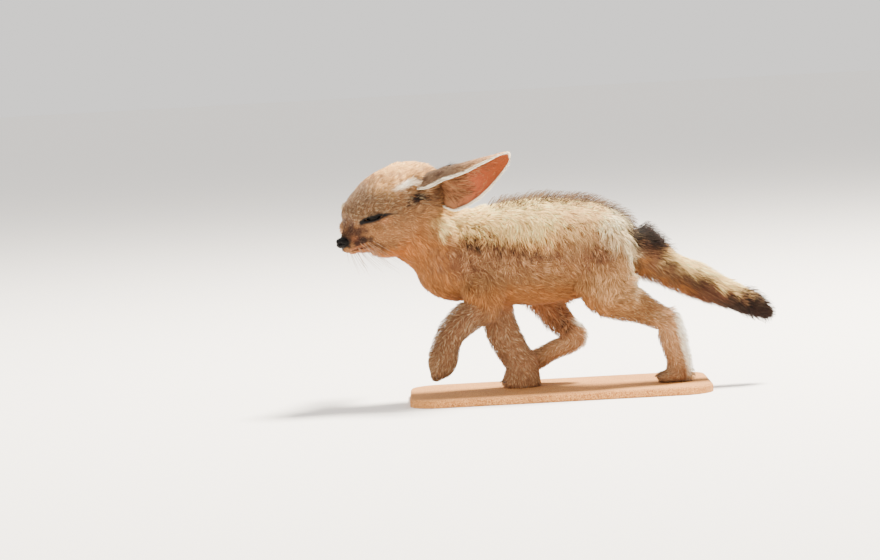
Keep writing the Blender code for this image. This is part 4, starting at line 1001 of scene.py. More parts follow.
# Painted shade in the gaps between the locks below the mane: x, z and half-width.
CLEFT_SHADES: tuple[Point, ...] = (
    (-95, 146, 1.8), (-85, 146, 3.2), (-76, 148, 1.6), (-64, 145, 4.4), (-54, 147, 2.0), (-47, 146, 2.8),
    (-37, 142, 3.2), (-27, 141, 2.2), (-16, 139, 2.6),
)
B, H = Frame.BODY, Frame.HEAD
TRUNK_ZONES = (
    # rust and apricot under the belly, chest and throat: partly the coat's own tint, partly painted warm light bounced
    # up from the ground
    Zone(B, (-40, 0, 88), (95, WIDE, 16), Tone.RUST, 0.85, 0.5),
    Zone(B, (-126, 0, 98), (24, WIDE, 34), Tone.RUST, 0.6, 0.5),
    Zone(B, (-118, 0, 84), (16, WIDE, 12), Tone.APRICOT, 0.5, 0.5),
    Zone(B, (-80, 0, 130), (46, WIDE, 20), Tone.TEMPLE, 0.6, 0.6, warp=0.3),
    Zone(B, (-100, 0, 133), (18, WIDE, 12), Tone.BROWN, 0.4, 0.7, warp=0.4),
    Zone(B, (60, 0, 112), (30, WIDE, 27), Tone.BLUSH, 0.9, 0.4),
    Zone(B, (4, 0, 204), (78, WIDE, 57), Tone.SAND, 0.8, 0.3, 4.0, warp=0.25),
    Zone(B, (8, 0, 208), (70, WIDE, 46), Tone.CREAM, 1.0, 0.3, 3.0, warp=0.22),
    Zone(B, (-62, 0, 202), (57, WIDE, 60), Tone.SAND, 0.8, 0.08, 6.0, warp=0.06),
    Zone(B, (-62, 0, 202), (57, WIDE, 55), Tone.HONEY, 0.9, 0.08, 6.0, warp=0.06),
    Zone(B, (-62, 0, 202), (57, WIDE, 47), Tone.CREAM, 1.0, 0.12, 6.0, warp=0.06),
    Zone(B, (-92, 0, 174), (36, WIDE, 20), Tone.GOLD, 0.7, 0.4),
    # painted shade: a thin darker band at the hip, below the back's cream
    Zone(B, (8, 0, 141), (26, WIDE, 5), Tone.TEMPLE, 0.6, 0.7, warp=0.5),
    Zone(B, (34, 0, 144), (24, WIDE, 13), Tone.TEMPLE, 0.75, 0.6, warp=0.4),
    # painted shadow: a brown patch at the hip
    Zone(B, (33, 0, 136), (13, WIDE, 5), Tone.BROWN, 0.7, 0.7, warp=0.5),
    Zone(B, (14, 0, 174), (24, WIDE, 14), Tone.SAND, 0.4, 0.8, warp=0.4),
    Zone(B, (-10, 0, 200), (100, WIDE, 9), Tone.SAND, 0.5, 0.5, 4.0),
    Zone(B, (54, 0, 174), (17, WIDE, 26), Tone.PALE, 0.8, 0.6),
    # painted rim highlight: a pale band down the rear edge of the haunch
    Zone(B, (73, 0, 138), (9, WIDE, 32), Tone.PALE, 0.95, 0.5),
    # painted rim highlight: a cream edge along the front of the mane
    Zone(B, (-121, 0, 166), (4, WIDE, 13), Tone.CREAM, 0.9, 0.5),
    # painted shade: dark wedges between the mane's lower locks
    *(Zone(B, (x, 0, z), (1.4 * wide, WIDE, 7.0), Tone.DARK, 1.0, 0.4, warp=0.2) for x, z, wide in CLEFT_SHADES),
)
HEAD_ZONES = (
    # amber under the jaw: partly its own tint, partly painted warm light bounced up from the ground
    Zone(H, (10, 16, -42), (34, 34, 13), Tone.AMBER, 0.85, 0.5),
    Zone(H, (38, 9, 22), (28, 34, 21), Tone.MAUVE, 0.9, 0.5, warp=0.15),
    Zone(H, (12, 34, 10), (22, 16, 15), Tone.TEMPLE, 0.75, 0.6, warp=0.3),
    Zone(H, (40, 18, 13), (15, 12, 8), Tone.TEMPLE, 0.7, 0.6),
    Zone(H, (-22, 4, 39), (28, 33, 17), Tone.HONEY, 0.95, 0.6, warp=0.25),
    Zone(H, (14, 20, 30), (14, 13, 9), Tone.HONEY, 0.4, 0.8, warp=0.15),
    Zone(H, (-1, 30, 23.5), (11, 8, 2.2), Tone.WHITE, 0.95, 0.8, warp=0.1),
    Zone(H, (-10, 38, 8), (17, 8, 6), Tone.BROWN, 0.5, 0.7, warp=0.4),
    Zone(H, (0, 36, 9.6), (6.5, 9, 3.6), Tone.DARK, 1.0, 0.5, warp=0.3),
    Zone(H, (48, 0, 5), (12, 10, 9), Tone.SLATE, 0.8, 0.5),
    Zone(H, (58, 6, -4), (13, 10, 7), Tone.MUZZLE, 0.85, 0.5),
    Zone(H, (56, 11, -13), (9, 8, 6), Tone.MUZZLE, 0.95, 0.4),
    Zone(H, (50, 13, -14), (7, 6, 5), Tone.DARK, 0.6, 0.6, warp=0.3),
    Zone(H, (60, 8, -9), (4, 4, 3), Tone.CLAY, 0.4, 0.6),
    Zone(H, (67, 0, -10), (7, 8.5, 7), Tone.BLACK, 0.95, 0.25),
    Zone(H, (58, 7, -18.6), (12, 9, 1.6), Tone.CLAY, 0.7, 0.5),
    Zone(H, (55, 4, -26), (13, 12, 5), Tone.APRICOT, 0.6, 0.5),
    Zone(H, (41, 14, -23), (6, 5, 4), Tone.DARK, 0.6, 0.6, warp=0.25),
    Zone(H, (50, 14, -1), (5, 4, 4), Tone.BROWN, 0.5, 0.6),
    Zone(H, (30, 22, 0), (9, 8, 3), Tone.CLAY, 0.35, 0.6),
    # far side only: a pale brow and cheek, partly the coat's own pale spots and partly painted light on the lit side of
    # the face
    Zone(H, (46, -18, 13), (8, 7, 4.5), Tone.PALE, 0.8, 1.0, warp=0.2, side=-1),
    Zone(H, (48, -21, -5), (10, 8, 7), Tone.SAND, 0.75, 1.0, warp=0.2, side=-1),
)
LID_STROKE = Stroke(
    ((50.2, 15.6, 4.2), (48.0, 16.7, 4.8), (43.4, 19.2, 4.9), (36.9, 22.7, 4.7), (30.9, 26.8, 4.8), (25.7, 29.7, 4.2),
     (18.0, 33.4, 1.8)),
    4.2, Tone.BLACK, 1.0, (0.7, 0.95, 1.05, 0.92, 0.72, 0.5, 0.24),
)
STROKES = (
    Stroke(MOUTH, 1.5, Tone.BROWN, 0.9),
    LID_STROKE,
    Stroke(((28.0, 28.4, 4.0), (22, 31.5, 1.8), (17, 34.0, -0.8)), 1.2, Tone.DARK, 0.8, (1.4, 0.5)),
)


class Markings:
    """The colour pattern that the skin and every tuft share."""

    def __init__(self, body: Body) -> None:
        """Keeps the parts' axes."""
        self.body = body

    def colours(self, points: Array) -> Array:
        """The colour at body points.

        Args:
            points: array (n, 3) in mm.
        Returns:
            Array (n, 3) of scene-linear colour: each part's ground colours blended by the parts'
            weights, then the trunk's and the head's zones and strokes laid over in order.
        """
        where, weight = self.body.places(points)
        head, ripple = HEAD.to_head(points), Waves(9.0, 3).at(points)
        trunk = self.trunk(points, ripple)
        # the neck: rust below, partly its own tint and partly painted warm bounce light, and cheek tan above
        neck = laid(plain(Tone.RUST, points), (Tone.CHEEK, ease(-0.2, 0.9, np.sin(where[Part.NECK].turn))))
        ground = [plain(Tone.CHEEK, points), self.over(neck, TRUNK_ZONES, points, ripple), trunk]
        ground += [self.tail(where[Part.TAIL], points), *(self.leg(part, where[part], points, trunk) for part in LEGS)]
        colour = (np.stack(ground, axis=1) * weight[:, :, None]).sum(axis=1)
        streak = Waves(2.4, 51).at(head, (0.3, 1.0, 1.0)) * ease(-8, 12, head[:, 2])
        face = laid(
            self.over(colour, HEAD_ZONES, head, ripple),
            (Tone.PALE, 0.09 * ease(0.3, 1.2, streak)),
            (Tone.BROWN, 0.2 * ease(0.3, 1.2, -streak)),
            *((stroke.tone, stroke.weight(head)) for stroke in STROKES),
        )
        return mixed(colour, face, np.clip(weight[:, 0] * 1.6, 0, 1))

    @staticmethod
    def over(colour: Array, zones: tuple[Zone, ...], points: Array, ripple: Array) -> Array:
        """Zones laid over a colour in order."""
        for zone in zones:
            share = zone.weight(points, ripple)
            body = zone.frame is Frame.BODY
            colour = toned(colour, zone.tone, share) if body else laid(colour, (zone.tone, share))
        return colour

    def trunk(self, points: Array, ripple: Array) -> Array:
        """The torso: tan flanks, darkened partly by painted shade, under the zones of back, mane, belly and thigh, with
        painted shade between the locks below the mane, parted in darker and paler strands.
        """
        made = self.over(plain(Tone.FLANK, points), TRUNK_ZONES, points, ripple)
        x, z = points[:, 0], points[:, 2]
        strand = Waves(3.8, 31).at(points, (1.0, 0.6, 0.16))
        hung = ease(136, 145, z) * ease(178, 154, z)
        made = laid(made, (Tone.FLANK, (0.35 + 0.4 * ease(10, -40, x)) * hung * ease(0.1, 0.9, strand)))
        # painted shade in the gaps between the mane's lower locks, where the noise is high
        cleft_shade = Waves(6.0, 35).at(points, (1.0, 1.0, 0.3))
        cleft_shade = ease(0.0, 0.7, cleft_shade) * ease(141, 146, z) * ease(162, 152, z) * ease(-110, -98, x) * ease(-14, -30, x)
        made = toned(made, Tone.DARK, 0.8 * cleft_shade)
        swirl = Waves(7.0, 33).at(points, (0.75, 1.0, 1.25))
        ruffled = ease(-125, -112, x) * ease(58, 20, x) * ease(112, 124, z) * ease(158, 142, z)
        made = toned(made, Tone.BROWN, 0.5 * ruffled * ease(0.35, 1.2, swirl))
        return laid(made, (Tone.SAND, 0.45 * ruffled * ease(0.35, 1.2, -swirl)))

    def tail(self, where: Where, points: Array) -> Array:
        """The tail: pale above, a black patch at its root, rust below, brown streaks on its side and a black tip."""
        mark, high = where.mark, np.sin(where.turn) + 0.16 * Waves(3.4, 8).at(points, (0.25, 1.0, 0.6))
        pale = high - 0.3 * ease(0.45, 0.9, mark)
        streak = ease(0.0, 1.0, Waves(2.8, 9).at(points, (0.25, 1.0, 0.8)))
        band = ease(0.22, 0.5, mark) * ease(0.42, -0.2, high) * ease(-0.95, -0.5, high + 1.6 * ease(0.4, 0.7, mark))
        ground = laid(
            plain(Tone.RUST, points),
            (Tone.FLANK, ease(-0.95, -0.6, high)),
            (Tone.TEMPLE, 0.85 * ease(-0.75, -0.35, high)),
            (Tone.BROWN, 0.6 * ease(-0.7, -0.2, high) * ease(0.3, 0.5, mark)),
            (Tone.CREAM, ease(-0.3, 0.75, pale) * ease(0.05, 0.22, mark + 0.08 * high)),
            (Tone.TEMPLE, 0.5 * ease(0.6, 0.9, mark)),
            (Tone.BROWN, 0.5 * streak * ease(0.95, 0.2, high) * ease(0.1, 0.25, mark)),
            (Tone.BROWN, 0.85 * band),
        )
        edge = 0.17 + 0.04 * high
        side = 0.7 * ease(0.0, 0.04, mark) * ease(edge + 0.07, edge - 0.07, mark) * ease(-0.75, -0.1, high)
        root = ease(0.0, 0.05, mark) * ease(edge + 0.02, edge - 0.05, mark) * ease(-0.3, 0.5, high)
        tip = ease(0.66, 0.88, mark + 0.2 * ease(0.5, -0.5, high) + 0.05 * np.sin(9.0 * streak + 5.0 * high))
        ground = toned(toned(ground, Tone.BROWN, side), Tone.BLACK, 0.95 * root)
        return toned(ground, Tone.BLACK, 0.9 * tip)

    @staticmethod
    def leg(part: Part, where: Where, points: Array, above: Array) -> Array:
        """A leg: as the trunk above, pale dusty pink below, speckled with sand, the far legs painted lighter as lit, a
        painted rim highlight up the back of a hind leg and painted shade between the toes.
        """
        hind, far = part in (Part.HIND_LEFT, Part.HIND_RIGHT), part in (Part.FORE_RIGHT, Part.HIND_RIGHT)
        mark, behind, dust = where.mark, where.out[:, 0], Waves(2.2, 21).at(points)
        lower = Tone.LEG.light * (LIT_FAR_LEG if far else 1.0) * (1.0 - 0.55 * hind) + 0.55 * hind * Tone.SAND.light
        # painted light: apricot over the far legs' upper parts, lighter as on the lit side
        above = laid(above, (Tone.APRICOT, 0.6 * ease(0.1, 0.3, mark))) if far else above
        ground = mixed(above, lower, ease(0.5, 0.66, mark) if hind else ease(0.3, 0.5, mark))
        ground = mixed(ground, Tone.PAW.light * (LIT_FAR_PAW if far else 1.0), 0.7 * ease(0.7, 0.95, mark))
        ground = laid(
            ground,
            (Tone.BROWN, 0.16 * ease(0.1, 1.2, dust) * ease(0.3, 0.6, mark)),
            (Tone.PALE, 0.16 * ease(0.3, 1.3, -dust) * ease(0.3, 0.6, mark)),
        )
        # painted shade just above the hock's band, and a painted white rim highlight up the back of a hind leg
        if hind:
            start, end = (0.54, 0.74) if far else (0.58, 0.93)
            shade = ease(start - 0.2, start - 0.08, mark) * ease(start + 0.1, start, mark)
            back = ease(0.45, 0.7, behind) * ease(start, start + 0.06, mark) * ease(end, end - 0.06, mark)
            ground = laid(ground, (Tone.BROWN, (0.35 if far else 0.1) * shade), (Tone.WHITE, 0.95 * back))
        if part is Part.HIND_RIGHT:
            streak = ease(-0.2, 0.7, Waves(3.2, 43).at(points, (0.35, 1.0, 1.0)))
            band = ease(0.44, 0.49, mark) * ease(0.62, 0.57, mark) * ease(0.7, 0.45, behind)
            ground = laid(ground, (Tone.DARK, 0.85 * streak * band * ease(-0.7, -0.1, behind)))
        # painted shade in the creases between the toes
        return laid(ground, (Tone.BROWN, 0.6 * ease(1.5, 0.5, toe_gap(part, points))))

    @staticmethod
    def ear(along: Array, across: Array, inner: Array) -> Array:
        """The colour on an ear.

        Args:
            along: 0 at the root to 1 at the tip.
            across: 0 at the back margin to 1 at the front margin.
            inner: True inside the cup.
        Returns:
            Array (n, 3): salmon to ember inside, the ember partly a painted glow of light through the ear; grey-brown
                to cream behind; white at the margins, partly pale fringe hair and partly a painted rim highlight.
        """
        hairs = np.sin(64 * across + 5 * np.sin(6 * along + 9 * across)) * np.cos(23 * along + 17 * across)
        cup = laid(
            plain(Tone.SALMON, along),
            # partly a painted glow: ember where light comes through the upper cup, over its own pink
            (Tone.EMBER, ease(0.4, 0.8, along) * ease(1.0, 0.5, across)),
            (Tone.CLAY, 0.6 * ease(0.5, 0.25, along)),
            (Tone.BLUSH, 0.5 * ease(0.6, 0.25, along)),
            (Tone.BROWN, 0.5 * ease(0.2, 0.9, hairs) * ease(0.75, 0.35, along)),
            (Tone.BROWN, 0.3 * ease(0.1, 0.02, across)),
        )
        rear = laid(
            plain(Tone.MAUVE, along),
            (Tone.SAND, ease(0.35, 0.8, along)),
            (Tone.BROWN, 0.55 * ease(0.1, 0.8, hairs) * ease(0.98, 0.7, along)),
            (Tone.CREAM, 0.7 * ease(0.62, 0.5, across)),
        )
        # white margins: partly pale fringe hair, partly a painted rim highlight
        sides = np.maximum(ease(0.035, 0.01, across), ease(0.965, 0.99, across))
        margin = np.maximum(sides, ease(0.95, 0.98, along))
        return laid(np.where(inner[:, None], cup, rear), (Tone.WHITE, 0.9 * margin))


@dataclass(frozen=True)
class Roots:
    """Where tufts grow: arrays with a row for each tuft."""

    points: Array
    normals: Array
    ways: Array
    colours: Array
    length: Array
    height: Array
    width: Array
    spread: Array  # how far each may turn from the lie, in radians
    places: Array  # u and v on the unwrap of the skin, 0 to 1


@dataclass(frozen=True)
class Cut:
    """How the tufts of one coat piece are made."""

    rings: int = 3
    flat: float = 0.45  # thickness as a share of the width
    sink: float = 0.6
    clump: float = 0.35
    clump_size: float = 6.0
    curl: float = 0.10
    shade: float = 0.30  # painted shade at the root: how much darker the root is
    dark: float = 0.12  # share of tufts with dark tips
    pale: float = 0.15  # share of pale tufts
    seed: int = 1


class Tufts:
    """Makes one coat piece: closed three-sided tapered tufts over arrays of roots."""

    patch: float = 0.0015  # half the size of a tuft's place on the unwrap
    # Rings by their number: how far each is to the tip and its share of the width. The tip is a point.
    profiles = {2: ((0.0, 0.75), (0.5, 1.0), (1.0, 0.0)), 3: ((0.0, 0.6), (0.36, 1.0), (0.72, 0.66), (1.0, 0.0))}

    def __init__(self, name: str, cut: Cut, finish: Material) -> None:
        """Names the piece."""
        self.name, self.cut, self.finish = name, cut, finish

    def clumped(self, tips: Array, roots: Array) -> Array:
        """Tips drawn towards the middle of the tips that share their cell of a warped lattice."""
        size = self.cut.clump_size
        warp = np.stack([Waves(size * 3.1, 40 + k).at(roots) for k in range(3)], axis=1)
        cell = np.floor((roots + warp * size * 0.55) / size).astype(np.int64)
        key = (cell[:, 0] * 4099 + cell[:, 1]) * 4099 + cell[:, 2]
        _, group = np.unique(key, return_inverse=True)
        count = np.bincount(group)[group][:, None]
        middle = np.stack([np.bincount(group, tips[:, k])[group] for k in range(3)], axis=1) / count
        return tips + (middle - tips) * self.cut.clump

    def build(self, roots: Roots) -> Object:
        """Makes the mesh object with its colours, smooth normals and OFBake map.

        Args:
            roots: the tufts' places and sizes.
        Returns:
            The object. A tuft's middle line is root + way L t + normal h (2t - t^2) + curl t^2,
            its section a triangle (side w/2, normal d, -side w/2) scaled by a taper along it.
        """
        cut, count = self.cut, len(roots.points)
        draw = np.random.default_rng(cut.seed)
        angle = roots.spread * (0.7 * Waves(17.0, cut.seed).at(roots.points) + 0.6 * draw.normal(size=count))
        side = unit(np.cross(roots.normals, roots.ways))
        way = unit(roots.ways * np.cos(angle)[:, None] + side * np.sin(angle)[:, None])
        side = unit(np.cross(roots.normals, way))
        length = (roots.length * draw.uniform(0.72, 1.22, count))[:, None]
        height = (roots.height * draw.uniform(0.6, 1.15, count))[:, None]
        curl = side * length * (cut.curl * draw.normal(size=count))[:, None]
        start = roots.points - roots.normals * cut.sink
        tips = start + way * length + roots.normals * height + curl
        pull = self.clumped(tips, roots.points) - tips
        width = (roots.width * draw.uniform(0.7, 1.3, count))[:, None]
        tone, tip_tone = self.tones(roots.colours, draw)
        rows, hues, turned, spots = [], [], [], []
        for t, share in self.profiles[cut.rings]:
            middle = start + way * length * t + roots.normals * height * (2 * t - t * t) + (curl + pull) * t * t
            # painted shade: the root darker, lightening towards the middle of the tuft
            hue = mixed(tone * (1 - cut.shade * np.array([0.65, 1.0, 1.3])), tone, np.full(count, min(1.0, t * 1.8)))
            hue = mixed(hue, tip_tone, np.full(count, max(0.0, t - 0.45) / 0.55))
            at = roots.places + np.array([0.0, self.patch * (2 * t - 1)])
            if share == 0.0:
                ring = (middle, hue, unit(roots.normals + 0.35 * way), at)
                made = [values[:, None] for values in ring]
            else:
                half, ridge = side * width * share * 0.5, roots.normals * width * share * cut.flat
                faces = [unit(roots.normals + 0.55 * side), roots.normals, unit(roots.normals - 0.55 * side)]
                offset = np.array([[-self.patch, 0], [0, 0], [self.patch, 0]])
                made = [np.stack([middle + half, middle + ridge, middle - half], axis=1)]
                made += [np.repeat(hue[:, None], 3, axis=1), np.stack(faces, axis=1), at[:, None] + offset[None]]
            for kept, values in zip((rows, hues, turned, spots), made):
                kept.append(values)
        return self.assemble(*(np.concatenate(kept, axis=1) for kept in (rows, hues, turned, spots)))

    def tones(self, colours: Array, draw: np.random.Generator) -> tuple[Array, Array]:
        """Varies the colour from tuft to tuft.

        Args:
            colours: the markings at the roots.
            draw: the piece's seeded generator.
        Returns:
            Colours of the middle and of the tip of each tuft.
        """
        count = len(colours)
        tone = colours * draw.uniform(0.8, 1.18, (count, 1))
        bright = draw.random(count) < self.cut.pale
        tone = mixed(tone, np.minimum(tone * 1.7 + np.array([0.05, 0.036, 0.02]), 0.97), 0.65 * bright)
        dark = draw.random(count) < self.cut.dark
        return tone, mixed(np.minimum(tone * 1.12, 0.97), Tone.BROWN.light, 0.75 * dark)

    def assemble(self, points: Array, hues: Array, turned: Array, spots: Array) -> Object:
        """Puts the arrays (tufts, points of a tuft, values) into one mesh object in the row frame."""
        count, each = points.shape[:2]
        corners = (np.arange(count)[:, None, None] * each + self.tuft_corners()[None]).reshape(-1, 3)
        mesh = Shell(STANCE.metres(points.reshape(-1, 3)), corners).mesh(self.name)
        paint(mesh, hues.reshape(-1, 3))
        flat = mesh.uv_layers.new(name="OFBake")
        flat.data.foreach_set("uv", spots.reshape(-1, 2)[corners.ravel()].astype(np.float32).ravel())
        obj = smooth_piece(self.name, mesh, self.finish)
        spin = np.array(STANCE.matrix.to_3x3())
        mesh.normals_split_custom_set_from_vertices((turned.reshape(-1, 3) @ spin.T).astype(np.float32))
        return obj

    def tuft_corners(self) -> Array:
        """Triangles of one tuft: its foot, its walls and its tip."""
        made, last = [(0, 2, 1)], 3 * self.cut.rings
        for i in range(0, last - 3, 3):
            for j in range(3):
                a, b, c, d = i + j, i + (j + 1) % 3, i + 3 + (j + 1) % 3, i + 3 + j
                made += [(a, b, c), (a, c, d)]
        return np.array(made + [(last, last - 3 + j, last - 3 + (j + 1) % 3) for j in range(3)])


def paint(mesh: bpy.types.Mesh, colour: Array) -> None:
    """Gives a mesh the colours of its points as the attribute that the fur's finish reads."""
    rgba = np.ones((len(colour), 4), np.float32)
    rgba[:, :3] = colour
    mesh.color_attributes.new("coat_colour", "FLOAT_COLOR", "POINT").data.foreach_set("color", rgba.ravel())


def smooth_piece(name: str, mesh: bpy.types.Mesh, finish: Material) -> Object:
    """A smooth-shaded piece of a mesh that is in place, with its finish."""
    mesh.polygons.foreach_set("use_smooth", np.ones(len(mesh.polygons), bool))
    mesh.materials.append(finish)
    return linked(name, mesh)


# Where the coat of the head grows fuller, and what that adds to its length and its height.
FULLER = (
    (Zone(H, (-11, 31, 25), (11, 9, 6)), 3.0, 1.6),
    (Zone(H, (46, -17, 14), (6, 6, 5), edge=0.9, side=-1), 3.0, 2.4),
    (Zone(H, (-34, 22, 30), (13, 22, 14), edge=0.6), 2.5, 3.0),
    (Zone(H, (22, 12, -36), (30, 18, 12), edge=0.6), 2.5, 3.6),
    (Zone(H, (50, -21, -4), (7, 7, 6), side=-1, edge=0.9), 4.0, 2.6),
    (Zone(H, (34, 0, 27), (26, 40, 14), edge=0.6), 0.0, 0.6),
)
EAR_FOOT = Zone(H, (-16, 37, 4), (14, 12, 16), edge=0.5)
NAPE_TUFTS = Zone(B, (-108, 0, 174), (20, 34, 17), edge=0.5)
GROIN = Zone(B, (-12, 0, 88), (46, WIDE, 16), edge=0.6)
RUFFLE = Zone(B, (-70, 0, 128), (58, WIDE, 22), edge=0.5)
TUFT_WIDTH = 1.03
EAR_CLEARANCE = 1.3


class Lie:
    """Which way the coat lies on the skin, and how long it grows."""

    def __init__(self, body: Body, skin: Shell) -> None:
        """Works out a smooth field of directions on the skin.

        Args:
            body: the parts' axes.
            skin: the skin without its ears.
        """
        self.skin, self.body = skin, body
        self.normals = skin.normals()
        self.where, self.weight = body.places(skin.points)
        self.head = HEAD.to_head(skin.points)
        guides = np.stack([self.guide(part) for part in Part], axis=1)
        self.ways = self.smoothed((guides * self.weight[:, :, None]).sum(axis=1))

    def guide(self, part: Part) -> Array:
        """Directions that one part asks for: along its axis, with the fall that its coat has."""
        where, down = self.where[part], np.array([0.0, 0.0, -1.0])
        rise = np.sin(where.turn)
        if part is Part.HEAD:
            forward, left, up = HEAD.axes
            sided = np.sign(self.head[:, 1]) * ease(2, 14, np.abs(self.head[:, 1]))
            low = ease(0.6, -0.2, rise) * ease(-0.95, -0.5, rise)
            lie = -forward + np.outer(0.22 * sided, left) - np.outer(0.45 * low, up)
            for ear in EARS:
                bed = Zone(H, (-16, 36 * ear.hand, 4), (15, 13, 17), edge=0.5, side=1)
                lie = mixed(lie, ear.frame()[1][0], bed.weight(self.head))
            return lie
        if part is Part.NECK:
            return where.tangent + np.outer(0.35 * ease(0.9, 0.3, rise), down)
        if part is Part.TORSO:
            fore = ease(30, -60, self.skin.points[:, 0])
            hung = ease(-0.45, 0.1, rise) * ease(1.0, 0.62, rise)
            lower = ease(-0.85, -0.4, rise) * (1 - hung)
            back = where.tangent * (1.0 - (0.45 + 0.45 * fore) * hung)[:, None]
            return back + np.outer(1.1 * hung + 0.45 * lower, down)
        if part is Part.TAIL:
            return where.tangent
        return where.tangent + np.array([0.12, 0.0, 0.0])

    def smoothed(self, ways: Array, rounds: int = 10) -> Array:
        """Averages each direction with its neighbours', then lays it on the surface."""
        edges = np.concatenate([self.skin.corners[:, [0, 1]], self.skin.corners[:, [1, 2]]])
        (a, b), size = edges.T, len(ways)
        degree = np.bincount(a, minlength=size) + np.bincount(b, minlength=size)
        for _ in range(rounds):
            total = [np.bincount(a, ways[b, k], size) + np.bincount(b, ways[a, k], size) for k in range(3)]
            ways = 0.4 * ways + 0.6 * np.stack(total, axis=1) / np.maximum(degree, 1)[:, None]
        return laid_flat(ways, self.normals)

    def growth(self, points: Array) -> tuple[Array, Array, Array]:
        """Length, height and width of tufts at points, part by part and blended by weight."""
        where, weight = self.body.places(points)
        nape = NAPE_TUFTS.weight(points)
        sizes = [self.head_growth(HEAD.to_head(points)), (12.0 + 3.0 * nape, 5.2 + 4.5 * nape, 0.75 + 0 * nape)]
        sizes += [self.torso_growth(points, where[Part.TORSO], nape), self.tail_growth(where[Part.TAIL])]
        sizes += [self.leg_growth(part, where[part]) for part in LEGS]
        size = np.stack([np.stack(values, axis=1) for values in sizes], axis=1)
        long, high, wide = (size * weight[:, :, None]).sum(axis=1).T
        return long, high, TUFT_WIDTH * wide

    @staticmethod
    def head_growth(head: Array) -> tuple[Array, Array, Array]:
        """On the head: short velvet on the muzzle, longer behind, and fuller as the table says."""
        f, u = head[:, 0], head[:, 2]
        cheek = ease(30, 0, f) * ease(5, -15, u)
        long = 2.0 + 2.0 * ease(55, 35, f) + 2.0 * ease(30, 0, f) + 4.0 * cheek + 2.0 * ease(-10, -35, f)
        fuller = [(zone.weight(head), longer, higher) for zone, longer, higher in FULLER]
        long = sum((longer * share for share, longer, _ in fuller), long)
        high = sum((higher * share for share, _, higher in fuller), 0.3 + 0.24 * long)
        foot = EAR_FOOT.weight(head)
        long, high = long + 10.0 * foot, high + 2.0 * foot
        return long, high, 0.42 + 0.045 * long

    @staticmethod
    def torso_growth(points: Array, where: Where, nape: Array) -> tuple[Array, Array, Array]:
        """On the torso: a standing mane over the shoulders, a short belly and long hair in the groin."""
        rise, x = np.sin(where.turn), points[:, 0]
        upper, low, back = ease(-0.1, 0.3, rise), ease(-0.3, -0.8, rise), ease(0.8, 0.97, rise)
        mane = ease(-50, -95, x) * ease(132, 150, points[:, 2])
        groin = GROIN.weight(points)
        long = 14.0 + 3.0 * upper - 4.5 * low - 2.0 * back + 3.0 * groin
        high = 6.6 + 1.2 * upper - 3.4 * low + 5.0 * mane * (1.0 - 0.7 * back * ease(-104, -84, x))
        return long, high + 2.5 * nape + 5.0 * groin, 0.74 - 0.1 * low

    def tail_growth(self, where: Where) -> tuple[Array, Array, Array]:
        """On the tail: a brush as high as the tail is thick, shorter towards its tip."""
        mark, rise, axis = where.mark, np.sin(where.turn), self.body.axes[Part.TAIL]
        reach = axis.reach.mean(axis=1)[np.rint(mark * (len(axis.centres) - 1)).astype(int)]
        above, under = ease(-0.2, 0.5, rise), ease(0.62, 0.4, mark) * ease(0.0, -0.6, rise)
        root = above * (3.0 * ease(0.14, 0.06, mark) - 5.0 * ease(0.1, 0.18, mark) * ease(0.42, 0.26, mark))
        long = 13.0 + 5.0 * ease(0.2, 0.5, mark) - 7.0 * ease(0.78, 1, mark) - 3.5 * ease(0.9, 1, mark)
        return long, 0.6 * reach + root + 5.0 * under, 0.7 + 0 * mark

    @staticmethod
    def leg_growth(part: Part, where: Where) -> tuple[Array, Array, Array]:
        """On a leg: shorter downwards, with feathering behind the far thigh, the near forearm and the near hock."""
        mark, behind = where.mark, where.out[:, 0]
        long = 11.0 - 4.0 * ease(0.2, 0.5, mark) - 2.6 * ease(0.6, 0.85, mark)
        high = 5.6 - 1.4 * ease(0.18, 0.45, mark) - 2.2 * ease(0.6, 0.85, mark)
        if part is Part.HIND_RIGHT:
            fluff = ease(0.2, 0.34, mark) * ease(0.6, 0.48, mark) * ease(0.2, -0.4, behind)
            long, high = long + 4.0 * fluff, high + 5.0 * fluff
        if part is Part.FORE_LEFT:
            high = high + 3.2 * ease(0.4, 0.5, mark) * ease(0.92, 0.8, mark) * ease(-0.1, -0.6, behind)
        if part is Part.HIND_LEFT:
            high = high + 3.0 * ease(0.58, 0.66, mark) * ease(0.96, 0.9, mark) * ease(0.2, 0.6, behind)
        return long, high, 0.42 + 0.03 * long

    def unwrap(self, part: Part, points: Array, tile: int, tiles: int) -> Array:
        """Places on the unwrap of a part: along its axis and round it, in one of a few side-by-side tiles."""
        where = self.body.axes[part].locate(points)
        v = 0.01 + 0.98 * (where.turn + math.pi) / (2 * math.pi)
        return np.stack([0.02 + 0.96 * where.mark, (v + tile) / tiles], axis=1)


class Span(Enum):
    """What the bounds of a coat piece are measured by."""

    FORWARD = 0  # mm forward on the head
    ACROSS = 1  # mm to the animal's right
    TAIL = 2  # share of the tail's length


@dataclass(frozen=True)
class Patch:
    """One coat piece: the parts that it covers, how many tufts, and their cut."""

    name: str
    parts: tuple[Part, ...]
    tufts: int
    cut: Cut
    nodes: tuple[str, ...]
    slot: str = "fur_sand"
    spread: float = 0.3
    guard: bool = False  # thin dark hairs that stand along the ridge
    low: float = -9999.0  # least and greatest of what it covers
    high: float = 9999.0
    span: Span = Span.ACROSS


